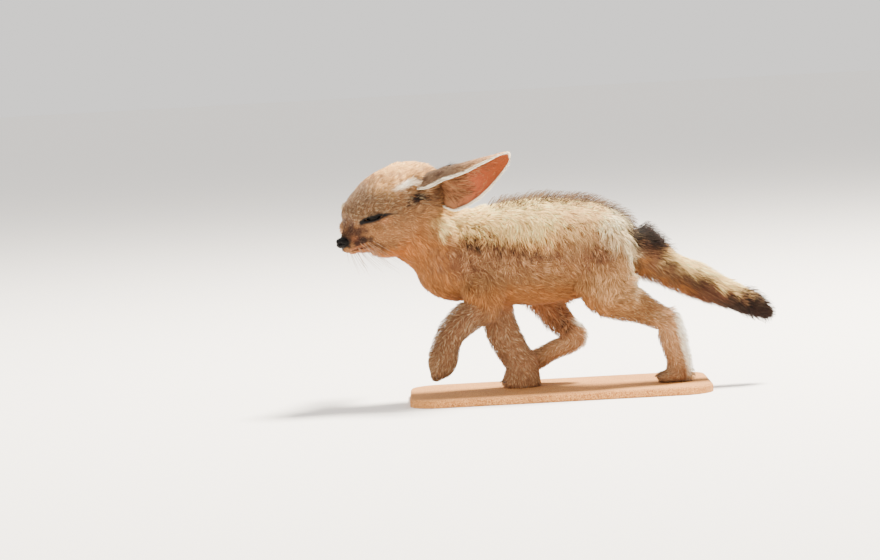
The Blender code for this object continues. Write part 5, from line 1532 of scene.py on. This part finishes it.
class Coat:
    """Grows every coat piece of the body from the skin."""

    def __init__(self, lie: Lie, markings: Markings, finish: Material) -> None:
        """Keeps what the pieces share."""
        self.lie, self.markings, self.finish = lie, markings, finish

    def measure(self, span: Span, points: Array) -> Array:
        """Where points lie on the scale that bounds a piece."""
        if span is Span.FORWARD:
            return HEAD.to_head(points)[:, 0]
        if span is Span.ACROSS:
            return points[:, 1]
        return self.lie.body.axes[Part.TAIL].locate(points).mark

    def density(self, points: Array) -> Array:
        """Where tufts grow closer or not at all: bare on the nose's seat, the lips' line and the open eyes."""
        head = HEAD.to_head(points)
        shut = 1.0 - ease(0.3, 0.8, LID_STROKE.weight(head))
        nose = np.linalg.norm((head - np.array([68, 0, -10])) / np.array([6.4, 6.8, 5.8]), axis=1)
        back = self.lie.body.axes[Part.TORSO].locate(points)
        close = 1.0 + 0.9 * ease(20, 45, head[:, 0])
        close = close + 0.9 * ease(0.7, 0.85, np.sin(back.turn)) * (head[:, 0] < -60)
        mouth, _ = near_path(to_left(head), np.array(MOUTH, float))
        sole = ease(0.6, 1.6, STANCE.ground(points))
        return close * shut * ease(1.0, 1.15, nose) * ease(0.4, 1.0, mouth) * sole

    def sample(self, patch: Patch) -> tuple[Array, Array, Array]:
        """Draws the roots of a piece on the skin, by area and density.

        Args:
            patch: what it covers.
        Returns:
            Points, normals and directions of the roots, each (n, 3).
        """
        skin, lie, count = self.lie.skin, self.lie, patch.tufts
        mine = np.isin(lie.weight.argmax(axis=1), [part.value for part in patch.parts])
        scale = self.measure(patch.span, skin.points)
        mine &= (scale >= patch.low) & (scale < patch.high)
        corners = skin.corners[mine[skin.corners[:, 0]]]
        a, b, c = Shell(skin.points, corners).thirds
        middle = (a + b + c) / 3
        area = 0.5 * np.linalg.norm(np.cross(b - a, c - a), axis=1) * self.density(middle)
        if patch.guard:
            area = area * self.ridge(middle)
        draw = np.random.default_rng(patch.cut.seed + 100)
        total = np.cumsum(area)
        picked = np.searchsorted(total, (np.arange(count) + draw.random(count)) / count * total[-1])
        chosen = corners[np.minimum(picked, len(corners) - 1)]
        r, s = np.sqrt(draw.random(count)), draw.random(count)
        share = np.stack([1 - r, r * (1 - s), r * s], axis=1)[:, :, None]
        points, normals, ways = ((v[chosen] * share).sum(axis=1) for v in (skin.points, lie.normals, lie.ways))
        normals = unit(normals)
        return points, normals, laid_flat(ways, normals)

    def ridge(self, points: Array) -> Array:
        """Where guard hairs stand: along the back behind the shoulders, the rump, and the tail's root and tip."""
        back, tail = (self.lie.body.axes[part].locate(points) for part in (Part.TORSO, Part.TAIL))
        over = 0.5 * ease(0.9, 0.98, np.sin(back.turn)) * ease(-80, -60, points[:, 0])
        behind = 0.6 * ease(45, 60, points[:, 0]) * ease(0.2, 0.7, np.sin(back.turn))
        brush = (tail.rho < 1.3) * np.maximum(ease(0.3, 0.1, tail.mark), 2.0 * ease(0.7, 0.9, tail.mark))
        brush = brush * ease(-0.4, 0.4, np.sin(tail.turn) + (tail.mark > 0.6))
        return np.where(tail.rho < back.rho, brush, np.maximum(over, behind))

    def roots(self, patch: Patch) -> Roots:
        """The roots of a piece with their sizes, colours and places on the unwrap."""
        points, normals, ways = self.sample(patch)
        length, height, width = self.lie.growth(points)
        label = self.lie.body.places(points)[1].argmax(axis=1)
        places = np.zeros((len(points), 2))
        for tile, part in enumerate(patch.parts):
            some = label == part.value
            places[some] = self.lie.unwrap(part, points[some], tile, len(patch.parts))
        keep = self.clear(points, normals, ways, length, height)
        spread = patch.spread * (1.0 + 1.3 * RUFFLE.weight(points))
        colours = self.markings.colours(points)
        if patch.guard:
            dark = np.where(points[:, :1] > 62, Tone.BLACK.light, Tone.BROWN.light)
            colours = 0.12 * colours + 0.88 * dark
            length, height = length * 0.55 + 6.0, height + 5.0 + 2.0 * (points[:, 0] < 60)
            width = np.full(len(points), 0.75)
        values = (points, normals, ways, colours, length, height, width, spread, places)
        return Roots(*(v[keep] for v in values))

    @staticmethod
    def clear(points: Array, normals: Array, ways: Array, length: Array, height: Array) -> Array:
        """Which tufts stay off ears and eyes: neither middle nor tip is by an ear's sheet or across the lids."""
        keep = np.ones(len(points), bool)
        for t in (0.3, 0.65, 1.0):
            keep &= LID_STROKE.weight(HEAD.to_head(points + ways * (length * t)[:, None])) < 0.35
        for ear in EARS:
            sheet = ear.sheet()[int(ear.rows * 0.36) :: 3, ::3].reshape(-1, 3)
            low, high = sheet.min(axis=0) - 6, sheet.max(axis=0) + 6
            for t in (0.5, 1.0):
                at = points + ways * (length * t)[:, None] + normals * (height * (2 * t - t * t))[:, None]
                near = np.flatnonzero(((at > low) & (at < high)).all(axis=1))
                keep[near[nearest(at[near], sheet, 4000)[1] < EAR_CLEARANCE**2]] = False
        return keep

    def grow(self, patch: Patch) -> None:
        """Makes one piece and rides it on the body."""
        settle(Tufts(patch.name, patch.cut, self.finish).build(self.roots(patch)), patch.nodes)


def settle(obj: Object, nodes: tuple[str, ...]) -> Object:
    """Rides a piece on the body in place of CAD nodes, which it hides, and logs its triangles."""
    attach(obj, "root")
    if nodes:
        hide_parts(*nodes)
    LOG.info("%s: %d triangles", obj.name, len(obj.data.polygons))
    return obj


class EarCoat:
    """The short velvet behind the ears, the fringe of their margins and the long hairs in the cups."""

    velvet = ((False, 3200), (True, 1500))  # inside the cup or not, and how many
    fringe = ((0.0, 0.012, 1500), (0.988, 1.0, 1700))  # least and greatest share across, and how many
    # The same, then length at the root and greatest share along.
    cup_hairs = ((0.45, 0.97, 1300, 14.0, 0.86), (0.05, 0.5, 800, 9.0, 0.86), (0.2, 0.95, 1500, 22.0, 0.42))

    def __init__(self, markings: Markings, finish: Material) -> None:
        """Keeps what it grows from."""
        self.markings, self.finish = markings, finish
        self.body = markings.body

    def pick(self, ear: Ear, count: int, seed: int, low: float, high: float, free: float = 0.93) -> tuple[Array, ...]:
        """Draws places on an ear's middle surface outside the head.

        Args:
            ear: the ear.
            count: how many, before those in the head are left out.
            seed: of the draw.
            low: least share across.
            high: greatest share across.
            free: how far out of the head at least, as a share of its reach there.
        Returns:
            Along, across, points, directions to the tip and to the front margin, and normals out
            of the cup, the last four by bilinear blends of the grid.
        """
        draw, grids = np.random.default_rng(seed), ear.faces()
        wide = np.linalg.norm(np.diff(grids[0], axis=1), axis=2).sum(axis=1)
        steps = np.linalg.norm(np.diff(grids[0], axis=0), axis=2).mean(axis=1)
        mass = np.cumsum(0.5 * (wide[1:] + wide[:-1]) * steps)
        row = np.searchsorted(mass, draw.random(count) * mass[-1]) + draw.random(count)
        row = np.clip(row, 0, ear.rows - 1.001)
        column = draw.uniform(low, high, count) * (ear.columns - 1.001)
        i, j = row.astype(int), column.astype(int)
        p, q = (row - i)[:, None], (column - j)[:, None]
        blends = [
            (g[i, j] * (1 - p) + g[i + 1, j] * p) * (1 - q) + (g[i, j + 1] * (1 - p) + g[i + 1, j + 1] * p) * q
            for g in grids
        ]
        outside = self.body.axes[Part.HEAD].locate(blends[0]).rho > free
        outside &= (self.body.axes[Part.NECK].locate(blends[0]).rho > 0.9) & (row < 0.94 * ear.rows)
        values = [row / (ear.rows - 1), column / (ear.columns - 1), *blends]
        return tuple(v[outside] for v in values)

    def roots(self, ear: Ear, tile: int) -> tuple[Roots, Roots]:
        """Short and long roots of one ear."""
        half, short, long = ear.wall(), [], []
        for inner, count in self.velvet:
            along, across, points, tipward, frontward, normal = self.pick(ear, count, 61 + inner + tile * 7, 0.0, 1.0)
            n = unit(normal) * (1.0 if inner else -1.0)
            i, j = (along * (ear.rows - 1)).astype(int), (across * (ear.columns - 1)).astype(int)
            colour = self.markings.ear(along, across, np.full(len(along), inner))
            streak = ease(0.4, 1.2, Waves(3.0, 17).at(points, (0.3, 1.0, 1.0)))
            if not inner:
                colour = laid(colour, (Tone.BROWN, 0.35 * streak * ease(0.9, 0.5, along)))
            way, at = unit(unit(tipward) + 0.15 * unit(frontward)), points + n * half[i, j][:, None]
            size = np.full(len(along), 3.4 if inner else 4.6)
            high = size * (0.10 if inner else 0.16)
            short.append((at, n, way, colour, size, high, 0.55, along, across, inner))
        for low, high, count in self.fringe:
            front = low > 0.5
            seed = 71 + tile * 7 + front
            along, across, points, tipward, frontward, normal = self.pick(ear, count, seed, low, high)
            n = unit(unit(frontward) * (1.0 if front else -1.0) + 0.2 * unit(normal))
            # white fringe tufts: partly pale hair, partly a painted rim highlight
            size, colour = 3.2 + 0.8 * ease(0.6, 0.2, along), plain(Tone.WHITE, along)
            short.append((points, n, unit(tipward), colour, size, size * 0.42, 0.6, along, across, False))
        for low, high, count, reach, limit in self.cup_hairs:
            places = self.pick(ear, count, 81 + tile * 7 + int(reach), low, high, 0.82)
            along, across, points, tipward, frontward, normal = (v[places[0] < limit] for v in places)
            lean = unit(unit(tipward) - 0.45 * unit(frontward) * (1.0 if low > 0.1 else -0.3))
            kind = Waves(4.0, 23).at(points) + 0.8 * np.sin(97.0 * across + 61.0 * along)
            colour = laid(
                self.markings.ear(along, across, np.full(len(along), True)),
                (Tone.CLAY, 0.3),
                (Tone.BROWN, 0.55 * ease(0.2, 0.9, kind) * ease(0.75, 0.4, along)),
                (Tone.BLUSH, 0.6 * ease(0.3, 1.0, -kind) * ease(0.9, 0.5, along)),
            )
            size = reach * (1.0 - 0.45 * along)
            long.append((points, unit(normal), lean, colour, size, size * 0.16, 0.5, along, across, True))
        return self.gather(short, tile), self.gather(long, tile)

    @staticmethod
    def gather(groups: list[tuple], tile: int) -> Roots:
        """Groups of rows as one set of roots, on the tile of the unwrap that belongs to the ear."""
        sizes = [len(group[0]) for group in groups]
        wide, inner = (np.repeat([group[k] for group in groups], sizes) for k in (6, 9))
        points, n, way, colour, size, high, along, across = (
            np.concatenate([group[k] for group in groups]) for k in (0, 1, 2, 3, 4, 5, 7, 8)
        )
        places = np.stack([0.02 + 0.96 * along, (0.02 + 0.96 * across + inner + 2 * tile) / 4], axis=1)
        return Roots(points, n, laid_flat(way, n), colour, size, high, wide, np.full(len(points), 0.22), places)

    def build(self) -> None:
        """The two ear pieces: short coat and long hairs."""
        sets = [self.roots(ear, tile) for tile, ear in enumerate(EARS)]
        for name, cut, made in zip(("coat_ears", "coat_ear_hairs"), (VELVET, CUP_HAIR), zip(*sets)):
            joined = [np.concatenate([getattr(roots, field) for roots in made]) for field in Roots.__dataclass_fields__]
            settle(Tufts(name, cut, self.finish).build(Roots(*joined)), ("ear_left", "ear_right"))


class Surface:
    """A material in the making: its Principled shader and what leads into it."""

    def __init__(self, name: str, roughness: float, **constants: float) -> None:
        """Makes the material; constants are named as the shader's sockets, with _ for a space."""
        self.material = bpy.data.materials.new(name)
        self.material.use_nodes = True
        self.tree = self.material.node_tree
        self.shader = self.tree.nodes["Principled BSDF"]
        for socket, value in {"Roughness": roughness, **constants}.items():
            self.shader.inputs[socket.replace("_", " ")].default_value = value

    def node(self, kind: str, **links: Socket) -> bpy.types.Node:
        """A new node with sockets led into its inputs by their names."""
        made = self.tree.nodes.new("ShaderNode" + kind)
        for name, source in links.items():
            self.tree.links.new(source, made.inputs[name])
        return made

    def pattern(self, kind: str, scale: float, output: str) -> Socket:
        """A texture on object coordinates."""
        made = self.node(kind, Vector=self.node("TexCoord").outputs["Object"])
        made.inputs["Scale"].default_value = scale
        return made.outputs[output]

    def noise(self, scale: float, detail: float = 3.0) -> Socket:
        """Noise on object coordinates."""
        made = self.pattern("TexNoise", scale, "Fac")
        made.node.inputs["Detail"].default_value = detail
        return made

    def ramp(self, stops: tuple[tuple[float, Array], ...], source: Socket) -> Socket:
        """Colours by the given stops, led from a socket."""
        made = self.node("ValToRGB", Fac=source)
        elements = made.color_ramp.elements
        while len(elements) < len(stops):
            elements.new(0.5)
        for element, (at, colour) in zip(elements, stops):
            element.position, element.color = at, (*colour, 1.0)
        return made.outputs["Color"]

    def product(self, a: Socket, b: Socket) -> Socket:
        """The product of two colours."""
        made = self.node("Mix")
        made.data_type, made.blend_type = "RGBA", "MULTIPLY"
        made.inputs["Factor"].default_value = 1.0
        self.tree.links.new(a, made.inputs[6])
        self.tree.links.new(b, made.inputs[7])
        return made.outputs[2]

    def coloured(self, colour: Socket) -> None:
        """Leads a colour into the shader."""
        self.tree.links.new(colour, self.shader.inputs["Base Color"])

    def raised(self, height: Socket, strength: float, distance: float) -> None:
        """Leads a height into the shader's normal through a Bump node."""
        bump = self.node("Bump", Height=height)
        bump.inputs["Strength"].default_value, bump.inputs["Distance"].default_value = strength, distance
        self.tree.links.new(bump.outputs["Normal"], self.shader.inputs["Normal"])


@dataclass(frozen=True)
class FurFinish:
    """Matt hair that takes its colour from the coat_colour attribute, with fine streaks of light and dark."""

    name: str
    contrast: float = 0.16
    roughness: float = 0.72
    sheen: float = 0.04
    grain: float = 900.0

    def make(self) -> Material:
        """The material."""
        made = Surface(self.name, self.roughness, Specular_IOR_Level=0.12, Sheen_Weight=self.sheen, Sheen_Roughness=0.5)
        colour = made.node("Attribute")
        colour.attribute_name = "coat_colour"
        noise = made.noise(self.grain, 2.0)
        low, high = np.full(3, 1 - self.contrast), np.full(3, min(1 + self.contrast, 1.0))
        made.coloured(made.product(colour.outputs["Color"], made.ramp(((0.3, low), (0.7, high)), noise)))
        made.raised(noise, 0.35, 0.0004)
        return made.material


@dataclass(frozen=True)
class MottledFinish:
    """Leather, glass or horn whose colour wanders between two tones by a noise."""

    name: str
    deep: Point
    pale: Point
    grain: float = 420.0
    stops: tuple[float, float] = (0.3, 0.75)  # where on the noise the two tones stand
    roughness: float = 0.42
    specular: float = 0.5
    relief: float = 0.25
    pebbles: float = 0.0  # scale of the cells that make the relief, or 0 for the noise

    def make(self) -> Material:
        """The material."""
        made = Surface(self.name, self.roughness, Specular_IOR_Level=self.specular)
        noise = made.noise(self.grain)
        made.coloured(made.ramp(tuple(zip(self.stops, (linear(self.deep), linear(self.pale)))), noise))
        if self.relief:
            height = made.pattern("TexVoronoi", self.pebbles, "Distance") if self.pebbles else noise
            made.raised(height, self.relief, 0.0002)
        return made.material


NOSE_LEATHER = MottledFinish(
    "nose_leather", (3, 2, 2), (9, 6, 6), 260.0, roughness=0.5, specular=0.1, relief=0.3, pebbles=1500.0
)
EYE_GLASS = MottledFinish(
    "eye_glass", (4, 3, 2), (14, 8, 5), 500.0, (0.35, 0.8), roughness=0.3, specular=0.08, relief=0.0
)
CLAW_HORN = MottledFinish("claw_horn", (50, 34, 24), (110, 82, 58))
WHISKER_HAIR = MottledFinish("whisker_hair", (84, 54, 34), (168, 126, 88))


@dataclass(frozen=True)
class BoardFinish:
    """A board coated with fine desert sand."""

    fine: float = 1100.0
    drift: float = 22.0
    grains: tuple[tuple[float, Point], ...] = ((0.3, (124, 72, 30)), (0.5, (194, 130, 66)), (0.68, (230, 172, 102)))

    def make(self) -> Material:
        """The material."""
        made = Surface("base_board", 0.9)
        grain, drift = made.noise(self.fine, 4.0), made.noise(self.drift)
        sand = made.ramp(tuple((at, linear(colour)) for at, colour in self.grains), grain)
        shade = made.ramp(((0.3, np.full(3, 0.8)), (0.7, np.full(3, 1.0))), drift)
        made.coloured(made.product(sand, shade))
        made.raised(grain, 0.6, 0.0006)
        return made.material


@dataclass(frozen=True)
class FloorFinish:
    """A plain pale studio floor."""

    colour: Point = (253, 250, 246)

    def make(self) -> Material:
        """The material."""
        made = Surface("studio_floor", 0.85)
        made.shader.inputs["Base Color"].default_value = (*linear(self.colour), 1.0)
        return made.material


def solid_piece(name: str, shell: Shell, finish: Material) -> Object:
    """A smooth-shaded piece from a body-frame shell."""
    return smooth_piece(name, Shell(STANCE.metres(shell.points), shell.corners).mesh(name), finish)


@dataclass(frozen=True)
class SkinPiece:
    """Joins the ears to the skin and paints it."""

    markings: Markings

    def build(self, bare: Shell, finish: Material) -> Object:
        """Makes the skin piece.

        Args:
            bare: the skin without ears.
            finish: its material.
        Returns:
            One closed mesh whose colour attribute holds the markings.
        """
        whole = bare
        for ear in EARS:
            whole = whole.combined(ear.shell(), "UNION")
        colour = self.markings.colours(whole.points) * 0.88
        for ear in EARS:
            self.paint_ear(ear, whole.points, colour)
        obj = solid_piece("skin", whole, finish)
        paint(obj.data, colour)
        nodes = ["head", "neck", "torso", *TAIL_NODES, "ear_left", "ear_right"]
        nodes += [name for names in LEG_NODES.values() for name in names]
        return settle(obj, tuple(nodes))

    def paint_ear(self, ear: Ear, points: Array, colour: Array) -> None:
        """Colours the points on an ear's wall by the nearest place of its grid."""
        sheet, _, _, normal = ear.faces()
        grid, facing = sheet.reshape(-1, 3), normal.reshape(-1, 3)
        low, high = grid.min(axis=0) - 2, grid.max(axis=0) + 2
        some = np.flatnonzero(((points > low) & (points < high)).all(axis=1))
        best, gap = nearest(points[some], grid, 3000)
        some, best = some[gap < 5.0], best[gap < 5.0]
        along, across = (best // ear.columns) / (ear.rows - 1), (best % ear.columns) / (ear.columns - 1)
        inner = ((points[some] - grid[best]) * facing[best]).sum(axis=1) > 0
        outside = self.markings.body.axes[Part.HEAD].locate(points[some]).rho > 0.96
        colour[some[outside]] = self.markings.ear(along, across, inner)[outside]


@dataclass(frozen=True)
class Nose:
    """The nose leather: an ellipsoid pressed in by nostrils, side slits and a middle groove."""

    centre: Point = (68.0, 0.0, -10.1)
    radii: Point = (7.0, 7.1, 5.8)
    sides: int = 128
    # Hollows of the left side: path, half-width and depth of the nostril, the slit beside it and the middle groove.
    hollows: tuple[tuple[tuple[Point, ...], float, float], ...] = (
        (((74.4, 2.6, -9.8), (73.0, 4.0, -9.2)), 1.25, 2.4),
        (((72.4, 5.0, -9.6), (70.0, 6.7, -10.8)), 0.8, 1.1),
        (((75.0, 0.0, -9.0), (73.6, 0.0, -14.4)), 0.65, 0.9),
    )

    def build(self, finish: Material) -> None:
        """Makes the piece: each point moves to the centre by a depth that falls off as a bell round each hollow."""
        ball = ellipsoid(self.centre, self.radii, None, self.sides)
        points, press = ball.points.copy(), np.zeros(len(ball.points))
        for path, width, depth in self.hollows:
            press += depth * np.exp(-((near_path(to_left(points), np.array(path))[0] / width) ** 2))
        flat = 0.7 * ease(-6.6, -4.6, points[:, 2])
        points -= unit(points - np.array(self.centre)) * (press + flat)[:, None]
        obj = solid_piece("nose_leather", Shell(HEAD.to_body(points), ball.corners).outward(), finish)
        settle(obj, ("nose",))


@dataclass(frozen=True)
class Claws:
    """A short curved claw at the end of each toe."""

    length: float = 5.2
    root: float = 1.15
    least: float = 0.6  # least height over the base

    def build(self, finish: Material) -> None:
        """Makes all claws as one piece: a tube whose middle line bends down and whose radius falls to a point."""
        made, t = [], np.linspace(0, 1, 12)[:, None]
        for part in LEGS:
            row, way, radius = toe_row(part)
            for at in row:
                start = at + way * (radius - 3.0) + np.array([0, 0, 1.0])
                path = start + way * self.length * t + np.array([0, 0, -1.5]) * t**2
                path[:, 2] += np.maximum(0, self.least - STANCE.ground(path))
                made.append(sweep(path, self.root * (1 - 0.85 * t[:, 0] ** 1.5), 14, (0.0, 1.0, 0.0)))
        settle(solid_piece("claws", Shell.joined(made), finish), ())


@dataclass(frozen=True)
class Whiskers:
    """Thin tapered whiskers from the pads of the upper lip, and a few over the eyes."""

    count: int = 13
    radius: float = 0.3
    seed: int = 5

    @staticmethod
    def hair(root: Array, way: Array, long: float, bend: float, thick: float) -> Shell:
        """One whisker: root + way L t + bend L t^2 forward, with a radius that falls to a hair's end."""
        t = np.linspace(0, 1, 14)[:, None]
        path = root + way * long * t + np.array([bend, 0, 0]) * long * t**2
        return sweep(HEAD.to_body(path), thick * (1 - 0.8 * t[:, 0]), 6, (0.3, 1.0, 0.2))

    def build(self, finish: Material) -> None:
        """Makes all whiskers as one piece: rows of three on each pad, and three hairs over each eye."""
        draw, made = np.random.default_rng(self.seed), []
        for side in (1, -1):
            for k in range(self.count):
                row, along = k % 3, k // 3
                root = np.array([60.0 - 3.4 * along - row, side * (6.6 + 1.5 * along), -12.5 - 2.4 * row])
                way = unit(np.array([-0.2 - 0.06 * along, side * (0.5 - 0.06 * row), -0.85]))
                way = unit(way + 0.08 * draw.normal(size=3))
                made.append(self.hair(root, way, draw.uniform(32, 52), -0.1, self.radius))
            for k in range(3):
                root = np.array([44.0 - 3 * k, side * (17.5 + 1.5 * k), 12.5])
                way = unit(np.array([0.1, side * 0.5, 0.9]) + 0.1 * draw.normal(size=3))
                made.append(self.hair(root, way, 9, -0.6, self.radius * 0.8))
        settle(solid_piece("whiskers", Shell.joined(made), finish), ())


@dataclass(frozen=True)
class Studio:
    """Pale floor, soft lights and the camera."""

    floor_radius: float = 40.0
    floor_rings: int = 11
    floor_spokes: int = 96
    distance: float = 3.0
    lens: float = 122.7
    elevation: float = math.radians(4.0)
    aim: tuple[float, float] = (-120.0, 106.0)
    lit: Point = (-0.02, 0.0, 0.12)  # what the lamps point at
    air: Point = (253, 250, 246)

    def floor(self) -> None:
        """A flat disc as rings and spokes of one grid, closed at its middle."""
        rings, spokes = self.floor_rings, self.floor_spokes
        turn = np.linspace(0, 2 * math.pi, spokes, endpoint=False)
        radii = self.floor_radius * np.linspace(0, 1, rings + 1)[1:] ** 2
        grid = [np.outer(radii, np.cos(turn)), np.outer(radii, np.sin(turn)), np.zeros((rings, spokes))]
        points = np.vstack([np.stack(grid, axis=-1).reshape(-1, 3), np.zeros((1, 3))])
        i, j = np.meshgrid(np.arange(rings - 1), np.arange(spokes), indexing="ij")
        k = (j + 1) % spokes
        wall = quads(i * spokes + j, (i + 1) * spokes + j, (i + 1) * spokes + k, i * spokes + k)
        hub = np.stack([np.full(spokes, rings * spokes), j[0], k[0]], axis=1)
        mesh = Shell(points, np.concatenate([wall, hub])).mesh("floor")
        mesh.materials.append(FloorFinish().make())
        linked("floor", mesh)

    def light(self, name: str, at: Point, size: float, power: float, colour: Point) -> None:
        """An area light aimed at the animal."""
        lamp = bpy.data.lights.new(name, "AREA")
        lamp.shape, lamp.size, lamp.energy, lamp.color = "DISK", size, power, colour
        obj = linked(name, lamp)
        obj.location = at
        obj.rotation_euler = (Vector(self.lit) - Vector(at)).to_track_quat("-Z", "Y").to_euler()

    def lights(self) -> None:
        """A soft key from above and behind, a wide fill from the front and an even world."""
        self.light("key", (0.9, 0.65, 2.8), 0.8, 560.0, (1.0, 0.92, 0.80))
        self.light("fill", (-1.8, -2.8, 1.1), 2.4, 66.0, (1.0, 0.91, 0.82))
        world = bpy.data.worlds.new("studio")
        world.use_nodes = True
        shade = world.node_tree.nodes["Background"]
        shade.inputs["Color"].default_value = (*linear(self.air), 1.0)
        shade.inputs["Strength"].default_value = 1.2
        bpy.context.scene.world = world

    def camera(self) -> None:
        """The camera: level with the body's own ground, a little above it, looking across the animal."""
        sin, cos = math.sin(self.elevation), math.cos(self.elevation)
        target = np.array([self.aim[0], 0.0, self.aim[1] / cos]) * MM
        ahead, up = np.array([0.0, cos, -sin]), np.array([0.0, sin, cos])
        at = target - ahead * self.distance
        turn = Matrix((Vector((1, 0, 0)), Vector(up), Vector(-ahead))).transposed().to_4x4()
        data = bpy.data.cameras.new("camera")
        data.lens, data.sensor_width = self.lens, 36.0
        data.clip_start, data.clip_end = 0.05, 200.0
        obj = linked("camera", data)
        obj.matrix_world = STANCE.matrix @ Matrix.Translation(Vector(at)) @ turn
        bpy.context.scene.camera = obj


SHORT = Cut(rings=2, clump=0.14, clump_size=3.0, sink=0.35, curl=0.1, shade=0.35, dark=0.2, pale=0.22, seed=11)
WOOL = Cut(rings=2, clump=0.45, clump_size=5.5, curl=0.16, shade=0.42, dark=0.16, pale=0.2, seed=14)
BRUSH = Cut(rings=2, clump=0.3, clump_size=5.0, curl=0.14, shade=0.42, dark=0.34, pale=0.22, seed=16)
LEG_WOOL = Cut(rings=2, clump=0.3, clump_size=3.4, sink=0.4, curl=0.16, shade=0.4, dark=0.2, pale=0.25, seed=18)
BRISTLE = replace(BRUSH, rings=3, seed=20, clump=0.25, clump_size=3.0, dark=1.0, pale=0.0)
VELVET = Cut(rings=2, clump=0.05, clump_size=2.5, sink=0.35, shade=0.1, dark=0.0, seed=31)
CUP_HAIR = Cut(rings=3, clump=0.45, clump_size=4.0, sink=0.3, curl=0.14, shade=0.1, dark=0.1, pale=0.05, seed=32)
FORELEGS, HINDLEGS = LEGS[:2], LEGS[2:]
TAIL_TIP_FROM = 0.74
PATCHES = (
    Patch("coat_face", (Part.HEAD,), 17500, SHORT, ("head",), low=12.0, span=Span.FORWARD),
    Patch("coat_crown", (Part.HEAD,), 15500, replace(SHORT, seed=12, clump=0.08), ("head",), spread=0.34, high=12.0,
          span=Span.FORWARD),
    Patch("coat_neck", (Part.NECK,), 11500, replace(WOOL, seed=13), ("neck",), spread=0.38),
    Patch("coat_torso_left", (Part.TORSO,), 17500, WOOL, ("torso",), spread=0.36, high=0.0),
    Patch("coat_torso_right", (Part.TORSO,), 15500, replace(WOOL, seed=15), ("torso",), spread=0.36, low=0.0),
    Patch("coat_tail", (Part.TAIL,), 12500, BRUSH, TAIL_NODES[:2], spread=0.26, high=TAIL_TIP_FROM, span=Span.TAIL),
    Patch("coat_tail_tip", (Part.TAIL,), 4500, replace(BRUSH, seed=17, dark=0.4, pale=0.3), TAIL_NODES[2:], "fur_dark",
          spread=0.26, low=TAIL_TIP_FROM, span=Span.TAIL),
    Patch("coat_guard", (Part.TORSO, Part.TAIL), 2500, BRISTLE, ("torso", *TAIL_NODES), "fur_dark", guard=True),
    Patch("coat_forelegs", FORELEGS, 16500, LEG_WOOL, sum((LEG_NODES[part] for part in FORELEGS), ()), spread=0.42),
    Patch("coat_hindlegs", HINDLEGS, 17500, replace(LEG_WOOL, seed=19), sum((LEG_NODES[part] for part in HINDLEGS), ()),
          spread=0.42),
)


def main() -> None:
    """Loads the frame, builds every piece in order and reports each."""
    logging.basicConfig(level=logging.INFO, format="%(message)s")
    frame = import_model()
    frame["nodes"]["stand_base"].data.materials.clear()
    frame["nodes"]["stand_base"].data.materials.append(BoardFinish().make())
    studio = Studio()
    studio.camera()
    studio.floor()
    studio.lights()
    body = Body()
    markings = Markings(body)
    bare = Skin(body).build()
    LOG.info("skin without ears: %d triangles", len(bare.corners))
    SkinPiece(markings).build(bare, FurFinish("skin", contrast=0.1).make())
    fur = FurFinish("fur").make()
    coat = Coat(Lie(body, bare), markings, fur)
    for patch in PATCHES:
        coat.grow(patch)
    EarCoat(markings, fur).build()
    glass = EYE_GLASS.make()
    for eye, name in zip(EYES, ("eye_left", "eye_right")):
        settle(solid_piece(name + "_ball", Skin.in_head(eye.ball(eye.radius, 48)), glass), (name,))
    Nose().build(NOSE_LEATHER.make())
    Claws().build(CLAW_HORN.make())
    Whiskers().build(WHISKER_HAIR.make())
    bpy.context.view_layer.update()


if __name__ == "__main__":
    main()
